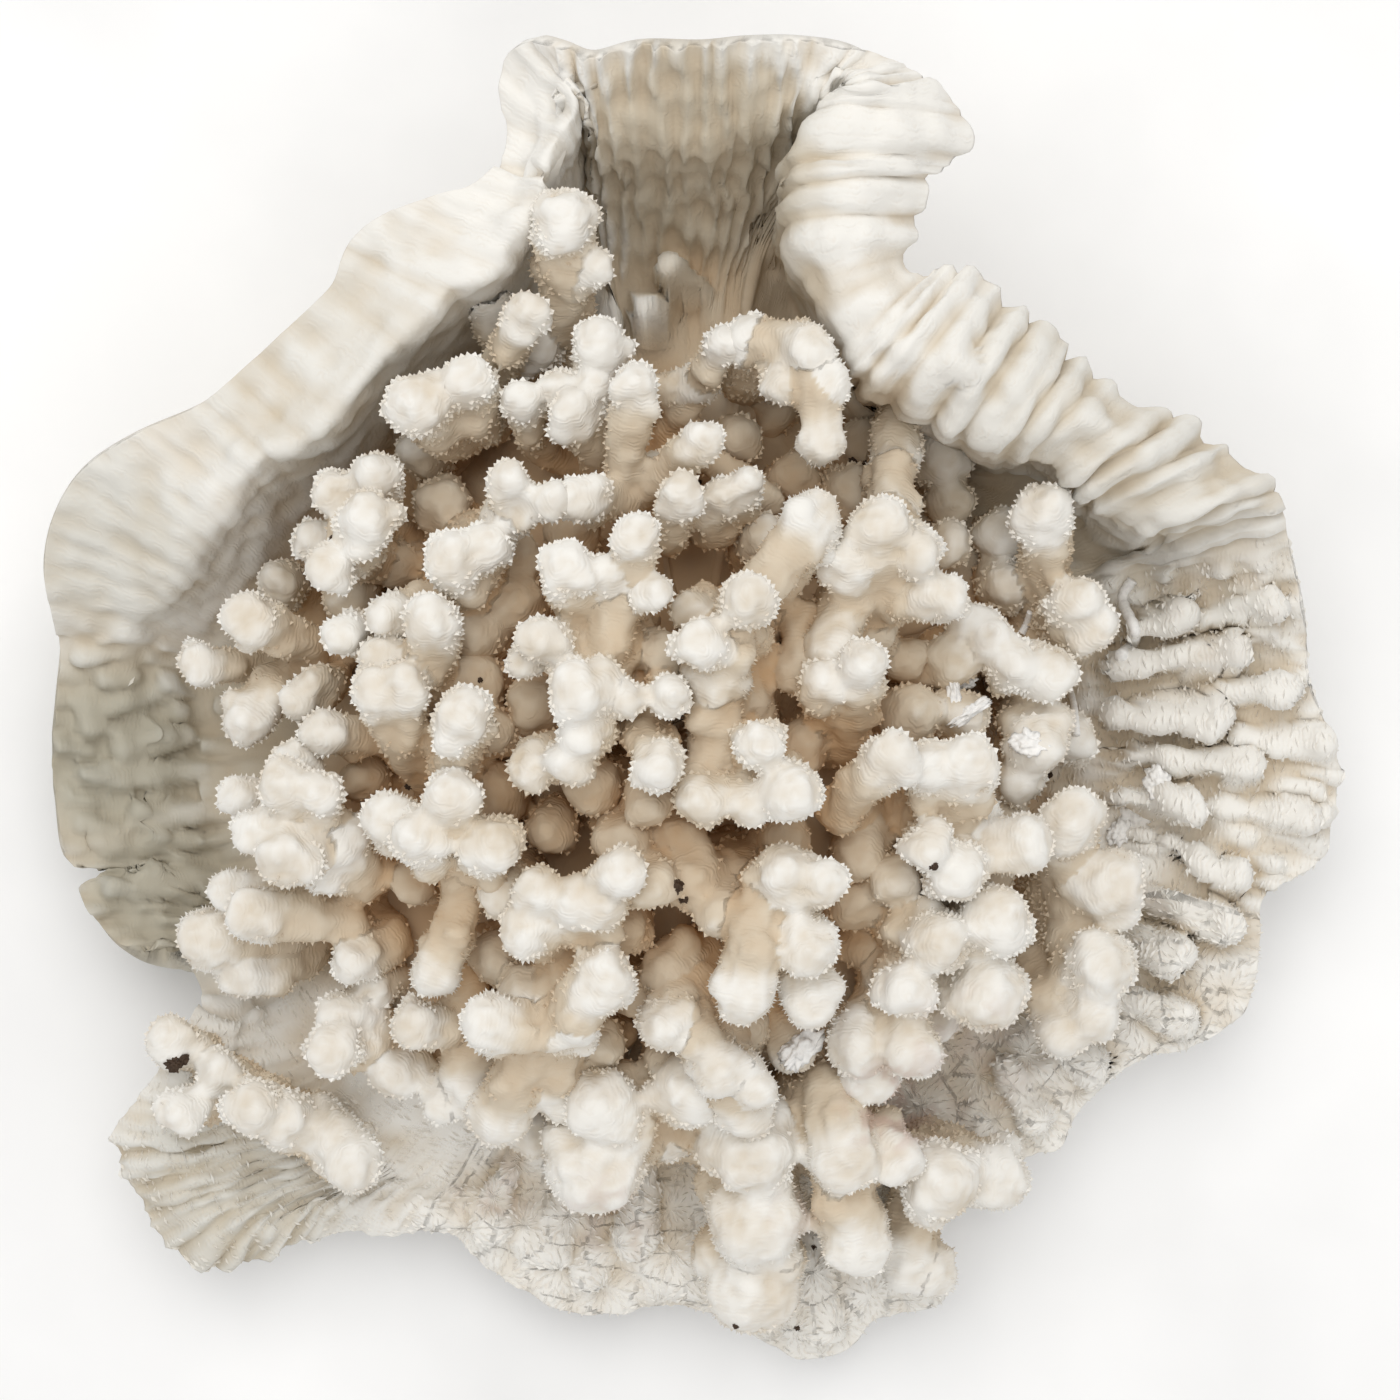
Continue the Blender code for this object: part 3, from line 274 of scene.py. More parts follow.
# Each fork has the place where its stem leaves the plate, the stem's radius, and its fingers. A finger is
# its base and its tip, each as right, back and height, then its radius.
FORKS = {
    "branch_crown": ((-18, 12), 7.0, (
        ((-20, 26, 86), (-18, 10, 84), 7.0),
        ((-28, 20, 88), (-34, 33, 108), 5.4),
        ((-26, 12, 86), (-40, 15, 104), 4.8),
        ((-22, 20, 88), (-23, 32, 105), 4.4),
        ((-20, 25, 92), (-15, 41, 112), 4.6),
        ((-20, 25, 98), (-25, 4, 92), 6.0),
        ((-19, 24, 94), (-11, 27, 106), 3.6),
        ((-26, 6, 88), (-30, 2, 107), 6.4),
        ((-22, 4, 92), (-18, 0, 105), 3.6),
        ((-38, 12, 92), (-44, 10, 98), 3.6),
        ((-24, -4, 84), (-29, -9, 103), 5.0),
        ((-26, -8, 84), (-33, -16, 100), 5.0),
        ((-26, -8, 84), (-42, -17, 95), 5.0),
        ((-16, -4, 86), (-10, -17, 105), 5.2),
        ((-12, 4, 88), (-7, 1, 104), 4.2),
    )),
    "branch_back": ((-16, 50), 6.5, (
        ((-18, 56, 70), (-12, 54, 72), 6.0),
        ((-20, 52, 80), (-16, 79, 98), 4.6),
        ((-24, 74, 66), (-25, 89, 84), 5.6),
        ((-30, 70, 68), (-36, 79, 82), 3.8),
        ((-27, 66, 70), (-27, 78, 84), 4.0),
        ((-40, 64, 64), (-45, 75, 82), 4.4),
        ((-26, 60, 70), (-32, 72, 86), 4.8),
        ((-20, 50, 82), (-31, 50, 94), 4.8),
        ((-14, 52, 80), (1, 65, 97), 4.2),
        ((-18, 76, 62), (0, 79, 70), 4.2),
        ((0, 79, 70), (6, 89, 82), 4.0),
        ((-8, 40, 84), (-5, 52, 100), 4.4),
        ((2, 42, 80), (5, 51, 92), 3.8),
        ((6, 42, 78), (12, 54, 91), 3.8),
        ((0, 62, 70), (17, 50, 68), 4.0),
    )),
    "branch_back_left": ((-48, 74), 6.0, (
        ((-33, 95, 66), (-34, 120, 92), 6.4),
        ((-33, 102, 76), (-26, 109, 86), 3.8),
        ((-51, 82, 68), (-43, 97, 84), 4.4),
        ((-50, 88, 56), (-53, 101, 67), 4.6),
        ((-62, 66, 62), (-70, 74, 84), 6.4),
        ((-54, 68, 64), (-58, 80, 84), 5.2),
        ((-44, 84, 54), (-40, 88, 66), 5.0),
    )),
    "branch_back_right": ((14, 76), 5.5, (
        ((10, 80, 62), (12, 91, 82), 4.8),
        ((12, 90, 78), (27, 88, 92), 5.2),
        ((27, 86, 90), (31, 64, 90), 4.8),
        ((18, 84, 82), (21, 79, 88), 4.2),
        ((26, 84, 90), (33, 79, 92), 4.0),
    )),
    "branch_centre_right": ((16, -2), 7.0, (
        ((10, 16, 82), (10, -4, 80), 7.5),
        ((10, 20, 100), (28, 46, 100), 5.6),
        ((10, 20, 98), (4, 4, 96), 6.2),
        ((4, 4, 96), (4, -11, 90), 5.6),
        ((6, 12, 92), (0, 14, 107), 5.4),
        ((10, 20, 92), (12, 25, 108), 5.4),
        ((4, 24, 80), (-2, 22, 92), 4.6),
        ((10, -10, 84), (15, -11, 103), 4.8),
        ((12, -16, 82), (12, -26, 97), 4.8),
        ((16, -18, 80), (23, -23, 101), 6.0),
        ((4, -18, 78), (0, -25, 97), 5.6),
        ((26, 22, 82), (24, 6, 84), 4.0),
        ((20, 28, 84), (29, 42, 98), 4.8),
        ((36, -14, 68), (41, 9, 94), 5.0),
        ((32, -6, 70), (31, 4, 90), 5.2),
    )),
    "branch_wall": ((44, 34), 6.0, (
        ((50, 76, 60), (48, 56, 72), 5.2),
        ((48, 56, 72), (47, 44, 80), 5.6),
        ((47, 46, 80), (54, 37, 93), 5.2),
        ((42, 24, 76), (45, 43, 95), 6.6),
        ((38, 20, 76), (37, 35, 92), 5.6),
        ((36, 26, 78), (33, 14, 86), 6.0),
        ((46, 24, 78), (61, 26, 89), 5.2),
        ((44, 28, 70), (42, 18, 72), 7.0),
    )),
    "branch_right": ((78, 16), 6.0, (
        ((72, 12, 52), (67, 19, 63), 4.8),
        ((74, 10, 54), (73, 15, 66), 4.8),
        ((76, 8, 54), (78, 9, 67), 5.2),
        ((78, 6, 52), (87, 7, 64), 6.0),
        ((87, 26, 46), (86, 47, 70), 6.0),
        ((88, 18, 46), (95, 25, 62), 5.6),
        ((90, 14, 46), (99, 18, 60), 4.8),
        ((80, -2, 46), (84, -11, 60), 7.0),
        ((80, -10, 44), (80, -21, 56), 5.0),
    )),
    "branch_right_middle": ((54, -20), 7.0, (
        ((56, -28, 66), (66, -30, 66), 8.5),
        ((34, -28, 78), (48, -14, 94), 5.4),
        ((58, -26, 72), (57, -16, 88), 5.6),
        ((64, -27, 72), (67, -16, 88), 6.2),
        ((58, -32, 70), (57, -37, 84), 5.0),
        ((66, -38, 64), (81, -36, 74), 6.4),
        ((64, -38, 66), (64, -43, 80), 6.0),
        ((44, -30, 62), (40, -38, 68), 6.5),
    )),
    "branch_right_front": ((84, -52), 6.0, (
        ((90, -44, 46), (92, -30, 62), 6.8),
        ((92, -48, 46), (102, -46, 55), 7.8),
        ((92, -58, 44), (100, -67, 56), 7.2),
        ((92, -66, 42), (98, -78, 52), 6.2),
        ((84, -68, 40), (91, -83, 50), 5.8),
    )),
    "branch_front_right": ((54, -58), 6.5, (
        ((54, -64, 60), (50, -72, 60), 8.0),
        ((50, -56, 62), (59, -60, 77), 6.4),
        ((66, -56, 56), (74, -55, 73), 7.2),
        ((64, -66, 52), (72, -73, 66), 8.2),
        ((50, -68, 62), (52, -72, 74), 6.0),
        ((48, -76, 62), (53, -87, 68), 6.6),
        ((44, -76, 56), (40, -86, 64), 7.0),
        ((44, -82, 52), (42, -93, 58), 6.2),
    )),
    "branch_front_middle": ((14, -58), 7.0, (
        ((20, -46, 78), (18, -56, 76), 8.0),
        ((18, -46, 84), (21, -44, 90), 6.5),
        ((14, -52, 86), (11, -74, 87), 6.0),
        ((22, -54, 80), (27, -62, 88), 6.0),
        ((24, -60, 76), (28, -75, 80), 6.0),
        ((26, -44, 80), (31, -46, 92), 5.0),
        ((-2, -64, 62), (-7, -68, 66), 7.0),
        ((0, -70, 66), (-9, -81, 76), 5.6),
        ((-2, -80, 72), (5, -92, 74), 6.0),
        ((5, -92, 72), (12, -104, 64), 5.4),
        ((8, -90, 70), (13, -97, 72), 5.0),
        ((18, -76, 56), (24, -88, 60), 4.8),
    )),
    "branch_front": ((12, -104), 8.0, (
        ((-12, -100, 46), (10, -104, 42), 8.0),
        ((-20, -102, 50), (-25, -101, 62), 8.0),
        ((-20, -106, 46), (-26, -116, 54), 10.5),
        ((-6, -98, 50), (-3, -97, 62), 8.0),
        ((12, -108, 44), (13, -112, 54), 9.6),
        ((13, -116, 40), (14, -130, 46), 10.5),
        ((13, -130, 34), (13, -146, 36), 10.8),
        ((32, -98, 54), (36, -114, 58), 7.6),
        ((35, -114, 50), (39, -135, 48), 7.6),
        ((40, -106, 46), (49, -115, 54), 6.2),
    )),
    "front_edge_knobs": ((58, -114), 5.0, (
        ((56, -116, 32), (60, -120, 46), 8.6),
        ((62, -114, 30), (73, -119, 37), 7.8),
        ((54, -122, 28), (52, -141, 30), 6.4),
        ((54, -136, 26), (58, -143, 29), 5.6),
    )),
    "branch_front_left": ((-38, -72), 7.0, (
        ((-31, -62, 70), (-37, -78, 68), 7.5),
        ((-38, -84, 72), (-53, -81, 80), 5.8),
        ((-36, -82, 74), (-24, -70, 86), 6.4),
        ((-38, -84, 72), (-31, -81, 78), 6.0),
        ((-42, -86, 70), (-51, -104, 58), 6.2),
        ((-36, -86, 68), (-35, -99, 58), 5.6),
        ((-34, -56, 74), (-41, -47, 89), 5.0),
        ((-34, -58, 74), (-44, -58, 85), 5.4),
        ((-28, -56, 76), (-25, -50, 90), 6.0),
        ((-26, -50, 80), (-20, -43, 95), 5.4),
        ((-30, -56, 76), (-31, -50, 89), 5.4),
    )),
    "branch_front_low": ((-60, -84), 6.0, (
        ((-59, -70, 56), (-58, -98, 50), 6.2),
        ((-58, -82, 54), (-71, -81, 65), 5.0),
        ((-60, -92, 46), (-64, -100, 50), 4.8),
        ((-78, -84, 44), (-89, -80, 54), 6.4),
        ((-84, -84, 44), (-92, -88, 61), 5.6),
        ((-70, -88, 40), (-76, -93, 49), 5.6),
    )),
    "branch_left_lower": ((-88, -46), 7.0, (
        ((-84, -42, 60), (-92, -36, 68), 8.0),
        ((-96, -36, 70), (-111, -33, 75), 5.2),
        ((-94, -36, 70), (-104, -39, 80), 6.0),
        ((-94, -30, 66), (-104, -21, 80), 5.8),
        ((-92, -30, 68), (-96, -23, 82), 4.8),
        ((-100, -30, 54), (-115, -24, 62), 4.8),
        ((-94, -24, 58), (-102, -15, 70), 4.8),
        ((-88, -56, 56), (-112, -53, 66), 5.6),
        ((-90, -48, 52), (-117, -48, 58), 4.8),
        ((-104, -58, 42), (-123, -60, 52), 6.8),
        ((-100, -64, 38), (-114, -67, 47), 6.4),
        ((-76, -60, 52), (-86, -65, 59), 5.2),
    )),
    "branch_left_middle": ((-62, -22), 7.0, (
        ((-58, -42, 74), (-60, -34, 72), 7.5),
        ((-64, -38, 74), (-78, -30, 85), 5.4),
        ((-62, -40, 76), (-71, -34, 91), 5.4),
        ((-60, -34, 76), (-62, -24, 93), 5.6),
        ((-56, -42, 76), (-51, -36, 91), 6.0),
        ((-59, -50, 72), (-66, -68, 72), 5.4),
        ((-62, -18, 76), (-59, -4, 98), 6.0),
        ((-72, -15, 70), (-74, 4, 92), 5.2),
        ((-74, -12, 70), (-81, 2, 90), 5.0),
        ((-78, -10, 62), (-95, -8, 72), 4.6),
        ((-68, 2, 74), (-67, 20, 94), 5.6),
        ((-72, 0, 68), (-79, 11, 84), 5.0),
    )),
    "branch_left": ((-92, 10), 6.0, (
        ((-98, 14, 54), (-113, 20, 68), 5.6),
        ((-110, 8, 42), (-126, 9, 52), 4.6),
        ((-104, 6, 50), (-113, -5, 58), 5.6),
        ((-92, 2, 58), (-101, -1, 66), 3.8),
        ((-90, 4, 58), (-96, 5, 66), 3.6),
        ((-80, 18, 68), (-89, 16, 80), 4.6),
    )),
    "branch_left_upper": ((-70, 36), 6.0, (
        ((-86, 36, 68), (-83, 45, 85), 6.2),
        ((-86, 36, 70), (-93, 33, 82), 4.8),
        ((-84, 46, 58), (-91, 52, 74), 4.8),
        ((-80, 46, 60), (-81, 56, 76), 5.2),
        ((-88, 36, 52), (-97, 40, 62), 4.8),
        ((-57, 39, 74), (-47, 47, 89), 4.8),
        ((-47, 47, 88), (-48, 55, 97), 4.4),
        ((-47, 47, 88), (-38, 50, 97), 4.4),
        ((-58, 26, 76), (-62, 35, 93), 5.6),
        ((-54, 30, 76), (-54, 38, 92), 4.8),
        ((-62, 25, 74), (-79, 21, 86), 4.4),
    )),
    "wing_knobs": ((-108, -100), 5.0, (
        ((-122, -90, 34), (-132, -85, 44), 5.4),
        ((-120, -100, 34), (-131, -103, 46), 5.0),
        ((-114, -94, 34), (-121, -93, 43), 5.0),
        ((-108, -100, 36), (-112, -102, 51), 6.0),
        ((-102, -106, 34), (-105, -105, 46), 6.0),
        ((-94, -108, 32), (-87, -115, 44), 6.6),
        ((-98, -104, 34), (-92, -108, 42), 6.0),
    )),
}

# Relief round the rim by line of the list above. Each zone has its first and last line, then how strong
# its lumps, ridges, septa, pleats, fine streaks, knobs and star-shaped cups are.
ZONES = (
    (0, 3, 0.20, 1.45, 0.15, 0.30, 0.5, 0.6, 0.0),
    (4, 8, 0.00, 0.30, 0.05, 0.65, 0.4, 0.6, 0.0),
    (9, 20, 0.00, 0.12, 0.05, 0.40, 0.4, 0.8, 0.0),
    (21, 31, 1.70, 0.10, 0.25, 0.10, 0.1, 0.9, 0.0),
    (32, 43, 0.30, 0.75, 0.55, 0.60, 0.4, 0.8, 0.0),
    (44, 64, 0.00, 0.00, 1.00, 0.40, 0.0, 1.4, 1.0),
    (65, 72, 0.90, 0.30, 0.65, 0.40, 0.1, 1.8, 0.0),
    (73, 90, 0.00, 0.10, 0.10, 0.90, 0.4, 0.9, 0.0),
    (91, 93, 0.20, 1.45, 0.15, 0.40, 0.5, 0.6, 0.0),
)

# What each column of a row round the rim holds, after the nine of its rim, wall top and wall foot.
CROWN, ROLLED, LUMPS, RIDGES, SEPTA, PLEATS, STREAKS, KNOBS, STARS = range(9, 18)

# The grid of the plate's skin.
SEAM = 470  # the column of the skin, counted from the first line, where its texture starts and ends
SKIN_AROUND = 900
MOUND_SKIN_RINGS = 15
WALL_SKIN_RINGS = 76
UNDERSIDE_STEP = 6  # the underside keeps only every sixth ring
EVEN_RINGS = 6  # how many rings of the underside are evened out, the innermost the most
EVEN_REACH = 14  # columns to each side
EVEN_TURNS = 2
CURVE_STEP = 0.05  # how finely the rim's curve is walked, in lines of the list

# Pleats: round crests of uneven height that wander, with smaller folds between them.
FOLD_DRIFT = 6.0  # how far the folds wander off the even pleats
FOLD_DRIFT_FINE = 0.4  # the finer part of it, against the coarse one
FOLD_SLOW = 24.0  # length over which they wander
FOLD_FINER = (3, 1.6, 2)  # times finer: the fine drift, the uneven height and the small folds
FOLD_ACROSS = 22.0  # how much the wandering changes from the middle to the rim
FOLD_CREST = 0.8  # power of a crest: the smaller, the rounder the crest and the sharper the groove
FOLD_UNEVEN = (0.9, 1.2)  # evenly high, and unevenly
FOLD_SMALL = (0.35, 0.5)  # the same for the small folds
FOLD_SMALL_RATE = 1.73  # small folds to one fold

# Fine ridges that run outwards.
RIDGE_PITCH = 5.8
RIDGE_HEIGHT = 1.3
RIDGE_FADE = (-0.05, 0.12)  # shares of the way out from the foot between which they rise
RIDGE_SWAY = (0.8, 1.7)  # against the sway of the pleats: how strong, and how much quicker
RIDGE_WAVE = (1.5, 17, 19)  # a slow wave: its reach, then its lengths outwards and round the rim
RIDGE_GRAIN = (7.0, 15.0)  # size of their wander along the rim and outwards
RIDGE_DRIFT = 3.2
RIDGE_BEADS = (0.75, 0.8)  # evenly high, and in beads
RIDGE_BEAD_RATE = 2.2

# Rows of drop-shaped lumps.
LUMP_WIDTH = 6.5
LUMP_LENGTH = 16.0
LUMP_HEIGHT = 2.6
LUMP_RISE = 0.78  # part of a lump's length over which it rises before it drops off
LUMP_SIZES = (0.45, 0.9)  # the smallest, and how much bigger the biggest is
LUMP_TAPER = 0.25  # half width of a lump's thin end, and how much its thick end adds
LUMP_ROUND = 0.7  # power of a lump's back: the smaller, the flatter the back
LUMP_FADE = (-0.1, 0.05)  # shares of the way out from the foot between which they rise
LUMP_WAVE = (1.6, 9, 13)  # the slow wave of their rows
LUMP_PHASES = 211

PLATE_KNOB_SIZE = 8.0
PLATE_KNOB_HEIGHT = 1.7
MOUND_KNOB_SIZE = 9.0
MOUND_KNOB_HEIGHT = 2.5
MOUND_FADE = 0.08  # share of the way out over which the mound's knobs fade, up to the foot
GRAIN_SIZE = 5.0
GRAIN_HEIGHT = 0.7
BLEND = 2.0  # how softly a lobe runs into the plate
BLEND_LIMITS = (-20, 12)  # the lift, in blends, past which nothing changes

# The star-shaped cups at the front, with septa round each.
STAR_AREA = ((-120, 130), (-170, -50))  # right, then back
STAR_SPACING = 9.5
STAR_TRIES = 3000
STAR_ARMS = 17

# Patches of painted shade and of real wear: right and back of the middle, reach, then how deep the painted
# shade is, how much painted grey-green shade there is and how worn they look.
SHADE_AND_WEAR_PATCHES = (
    (-146, -14, 34, 0.38, 1.0, 0.0),
    (-134, -46, 30, 0.36, 0.95, 0.0),
    (-100, 84, 50, 0.11, 0.20, 0.0),
    (-148, 38, 32, 0.10, 0.42, 0.0),
    (108, 64, 62, 0.13, 0.22, 0.0),
    (-112, -6, 30, 0.28, 0.5, 0.0),
    (-118, -122, 38, 0.12, 0.45, 0.0),
    (-96, 12, 30, 0.30, 0.2, 0.0),
    (-100, 30, 16, 0.18, 0.0, 0.0),
    (-70, 58, 18, 0.35, 0.0, 0.0),
    (-44, 88, 16, 0.35, 0.0, 0.0),
    (0, 134, 36, 0.50, 0.5, 0.0),
    (8, 104, 28, 0.42, 0.2, 0.0),
    (36, 66, 22, 0.52, 0.0, 0.0),
    (62, 46, 22, 0.40, 0.0, 0.0),
    (48, -102, 14, 0.0, 0.0, 0.9),
    (66, -90, 20, 0.1, 0.1, 0.35),
    (114, -54, 9, 0.10, 0.20, 0.2),
    (-52, -122, 12, 0.1, 0.0, 0.4),
    (-22, -130, 14, 0.1, 0.0, 0.35),
    (24, -128, 8, 0.3, 0.0, 0.3),
    (130, 20, 24, 0.06, 0.15, 0.1),
)

# White worm tubes that grew on the coral: right and back of each bend, then the tube's radius.
WORM_TUBES = (
    (((108, 30), (105.5, 25), (108.5, 18), (108, 14), (105, 11)), 1.3),
    (((92.5, 2.5), (93.6, -3), (94, -8.7)), 0.8),
    (((82.5, 22), (81.5, 19), (80.2, 16.5)), 0.8),
)
TUBE_LIFT = 0.9  # how far over the skin a tube's middle runs
TUBE_POINTS = 9  # points between two bends
TUBE_DETAIL = 4
TUBE_RIPPLE = (0.10, 2.4)  # how unevenly thick a tube is, and how quickly that changes
TUBE_END = 1.001  # stops a tube's path just short of its last bend
TUBE_FLARE = 0.25  # how much wider its open end is
WELD = 0.001  # points of a growth that lie closer are joined

# White crusts: right, back, half width, half depth and turn in degrees.
CRUSTS = (
    (63.5, 1.5, 1.6, 6.0, 0),
    (67.8, -3.0, 1.6, 6.0, 14),
    (66, 4.2, 3.2, 1.8, 0),
    (82.0, -11.0, 3.0, 4.4, 20),
    (108.0, -28.5, 6.2, 4.0, -24),
    (114.5, -21.0, 3.0, 5.0, -30),
    (104.5, -33.0, 3.4, 2.6, 10),
    (25.4, -87.0, 3.4, 6.4, -8),
)
CRUST_HEIGHT = 1.5
CRUST_PITS = 0.5  # how pitted, as part of the size

# Dark specks and caught bits: right, back and radius.
SPECKS = (
    (-92, 40.5, 0.7),
    (-73, -21.5, 0.9),
    (-55, 5, 0.6),
    (58.5, -41.5, 1.0),
    (9, -156.5, 0.8),
    (28.4, -137, 0.7),
    (0, 54.5, 0.5),
    (-131.5, -91.0, 2.0),
    (-129.5, -89.8, 1.6),
    (38.5, 59.5, 1.3),
    (41.5, 59.0, 0.9),
    (87.5, -18.8, 0.7),
    (24.3, -157, 0.7),
    (-6.0, -46.5, 1.6),
    (-4.0, -49.5, 1.2),
)
SPECK_FLATNESS = 0.7
SPECK_PITS = 0.6
LUMP_DETAIL = 4
SWELL_RATE = 2.3  # how fine a crust's or speck's swells are
PIT_RATE = 5.0  # and its pits
NOISE_STEP = 3.7  # how far apart in the noise two neighbours are
UPRIGHT = 1.5  # how strongly they stand up, against square to the skin

# The fingers' skin.
BALL_DETAIL = 3
BUDS = 3
BUD_DETAIL = 2
BUD_SIZE = (0.52, 0.68)  # parts of the finger's radius
BUD_OUT = 0.70  # how far from the finger's axis, in its radii
BUD_TWIST = 0.5  # how far a bud strays from its even place round the finger, in radians
BUD_DROP = 0.9  # the furthest that a bud lies below the tip, in radii
LOW_BUD = 0.55  # where the lower bud lies, in lengths of the finger below the tip
MELT_SMOOTHING = 0.5
MELT_TURNS = 4
KNOB_SIZE = 6.5
KNOB_HEIGHT = 1.6
KNOB_GRAIN = 0.5
BURIED = 2.0  # how far under the plate's surface a root ends
FAR_BELOW = 99.0  # stands for a stem, which has no tip
SHORTEST = 1e-6  # added to a finger's length, so that it is never nought

# How dark a place is painted, from 0 for white to 1 for the deepest painted shade: shade under the dome of
# fingers, in grooves and down each finger, with random blotches of the skeleton's own tone.
SHADE_DEPTHS = (0.0, 38.0)  # how far under the dome the shade starts, and where it is deepest
SHADE_EDGE = (-36, 4)  # where the shade under the dome fades, against the dome's reach
SHELTER = 30.0  # how far under the dome a place sheltered by the thicket takes a listed patch of painted shade in full
SHADE_PATCH_EDGE = (0.35, 1.15)  # where a listed patch of painted shade and wear starts to fade and where it ends, in its own reaches
BLOTCH = 0.16
BLOTCH_SIZE = 13.0
WEAR_SIZE = 6.0
WEAR_FINE = (0.5, 2.5)  # the finer part of the noise: how strong, and how many times finer
WEAR_PATCHES = (-0.15, 0.25)  # the noise between which a worn place goes from clean to full
FINGER_SHADE = 0.07  # how much darker a finger's tip is painted than the plate's rim, as painted shade
SHAFT_SHADE = 0.33  # how much darker a finger is painted below its tip, as painted shade
SHAFT_SPAN = (1.0, 11.0)  # how far below the tip the shade starts, and where it is full
KNOB_SHADE = 0.10  # how much lighter a knob's top is painted than its hollows: painted shade in the hollows
# Painted shade in the plate's grooves, and painted light on its ridges.
GLOOM_SPREAD = 14  # turns of evening out that a hollow is measured against
GLOOM_DEPTH = 2.2  # depth of a hollow in full gloom
GLOOM_LIMITS = (-0.5, 1.0)  # the most that a ridge is lighter and a hollow darker, before the share
GLOOM_SHARE = 0.28
UNDERSIDE_SHADE = 0.24  # the deepest painted shade that the underside takes

# The septa, drawn flat in the finish and standing as blades.
SEPTA_PITCH = 1.15
STREAK_PITCH = 1.7
HATCH_SWAY = 16.0  # how far the fine noise shifts the septa's phase, in radians
HATCH_STRENGTH = 0.75
HATCH_RELIEF = 0.4  # how high the septa stand, against the fine noise
PATCHES = (3.5, -1.25)  # slope and shift that turn the noise into patches of septa
FLECK_SCALE = 330.0  # flecks to a metre
EDGE_BLADES = (0.25, 0.60)  # how far up a finger may face for blades to stand on it
UNDER_BLADES = (-0.45, -0.1)  # and how far down
UNDER_SEPTA = (-0.5, 0.0)  # the same for the flat septa
BLADES_IN_SHADE = 0.8  # the part of the blades that is missing in the deepest shade
BARE_BELOW = 0.25  # septa weaker than this stay flat
BARE_MIDDLE = (0.6, 1.0)  # spans from the middle in which the plate's septa begin
BLADE_DENSITY = 900000.0  # the most to a square metre
BLADE_TWIST = 0.45  # how far a blade turns off its row, in radians
BLADE_SIZES = (0.65, 1.25)
FINGER_BLADES = {  # against the plate's
    "Spacing": 0.72,
    "Length": 0.55,
    "Thickness": 0.75,
    "Height": 1.15,
    "Density": 1.9,
}

# Finishes: depth of the flat septa in metres and how dark their grooves are painted, as painted shade; how
# far blades go towards white; and for the plain ones their colour, roughness, grains to a metre and depth of
# grain in metres.
SKELETONS = {"bleached_skin": (0.00013, 0.14), "ivory_skin": (0.00030, 0.38)}
BLADES = {"finger_septa": 0.0, "plate_septa": 0.45}
PLAIN = {
    "chalk": ((0.93, 0.92, 0.90), 0.7, 900, 0.0002),
    "caught_bits": ((0.06, 0.035, 0.02), 0.6, 700, 0.0002),
}
SKELETON_GLOSS = (0.85, 0.15)  # roughness and shine
BLADE_GLOSS = (0.95, 0.05)
PLAIN_SHINE = 0.3
PLAIN_DETAIL = 4.0
PLAIN_DARKER = 0.88  # colour of the grain's low places, against the plain colour
PLAIN_STOPS = (0.35, 0.6)  # where in the noise the darker and the plain colour lie
PLAIN_STRENGTH = 0.5
FLOOR_FINISH = (0.9, 6, 0.0)  # roughness, grains and depth of the floor
TONE_STOPS = (0.0, 0.28, 0.62, 1.0)  # where the tip, body, shade and deep shade colours lie along the painted shade
GREY_SHARE = 0.8
WORN_SHARE = 0.75

# The studio, in metres: where each light hangs, its size, and its share of the light's power.
LIGHTS = {"overhead_light": ((-0.10, 0.55, 1.25), 1.1, 1.0), "fill_light": ((0.15, -0.80, 1.10), 1.2, 0.30)}
LIGHT_COLOUR = (1.0, 0.985, 0.96)
LIT_SPOT = (0, 0, 0.05)  # what the lights point at
ROOM_BRIGHTNESS = 0.64
FLOOR_HALF = 3.0
SENSOR_WIDTH = 36


def place(right, back, height):
    """The true point of a place noted from above, which looks further out the higher it lies."""
    shrink = 1 - height / SIGHT_HEIGHT
    return Vector((right * shrink, back * shrink, height))


def smooth_loop(points, count):
    """A closed smooth curve through the points, read at evenly spaced places along it."""
    points = np.asarray(points, float)
    steps = np.arange(0, len(points), CURVE_STEP)
    dense = np.array([spline(points, step, True) for step in steps])
    spans = np.linalg.norm(np.diff(dense[:, :3], axis=0, append=dense[:1, :3]), axis=1)
    reach = np.concatenate(([0.0], np.cumsum(spans)))
    wanted = np.linspace(0, reach[-1], count, endpoint=False)
    ring = np.concatenate((dense, dense[:1]))
    found = [np.interp(wanted, reach, ring[:, column]) for column in range(ring.shape[1])]
    return np.stack(found, axis=1)


def spline(points, position, closed):
    """The point of a smooth curve through the rows of points, at a position counted in rows."""
    last = len(points)
    start = int(math.floor(position))
    part = position - start
    rows = [start - 1, start, start + 1, start + 2]
    rows = [row % last if closed else min(max(row, 0), last - 1) for row in rows]
    before, here, after, beyond = (points[row] for row in rows)
    return 0.5 * (
        2 * here
        + (after - before) * part
        + (2 * before - 5 * here + 4 * after - beyond) * part**2
        + (3 * here - before - 3 * after + beyond) * part**3
    )


def station_rows():
    """Each station as one row: rim, wall top and wall foot in true millimetres, the crown and the roll."""
    rows = []
    for number, line in enumerate(STATIONS):
        rim, top, foot = (place(*line[at : at + 3]) for at in (0, 3, 6))
        rolled = 1.0 if ROLL_SPAN[0] <= number <= ROLL_SPAN[1] else 0.0
        rows.append((*rim, *top, *foot, line[CROWN], rolled))
    return rows


def mound_height(right, back, floor):
    """How high the mound of grown-together forks stands over a floor."""
    out = math.dist((right, back), MOUND_MIDDLE) / MOUND_REACH
    return floor + (MOUND_TOP - floor) * max(0.0, 1 - out**2)


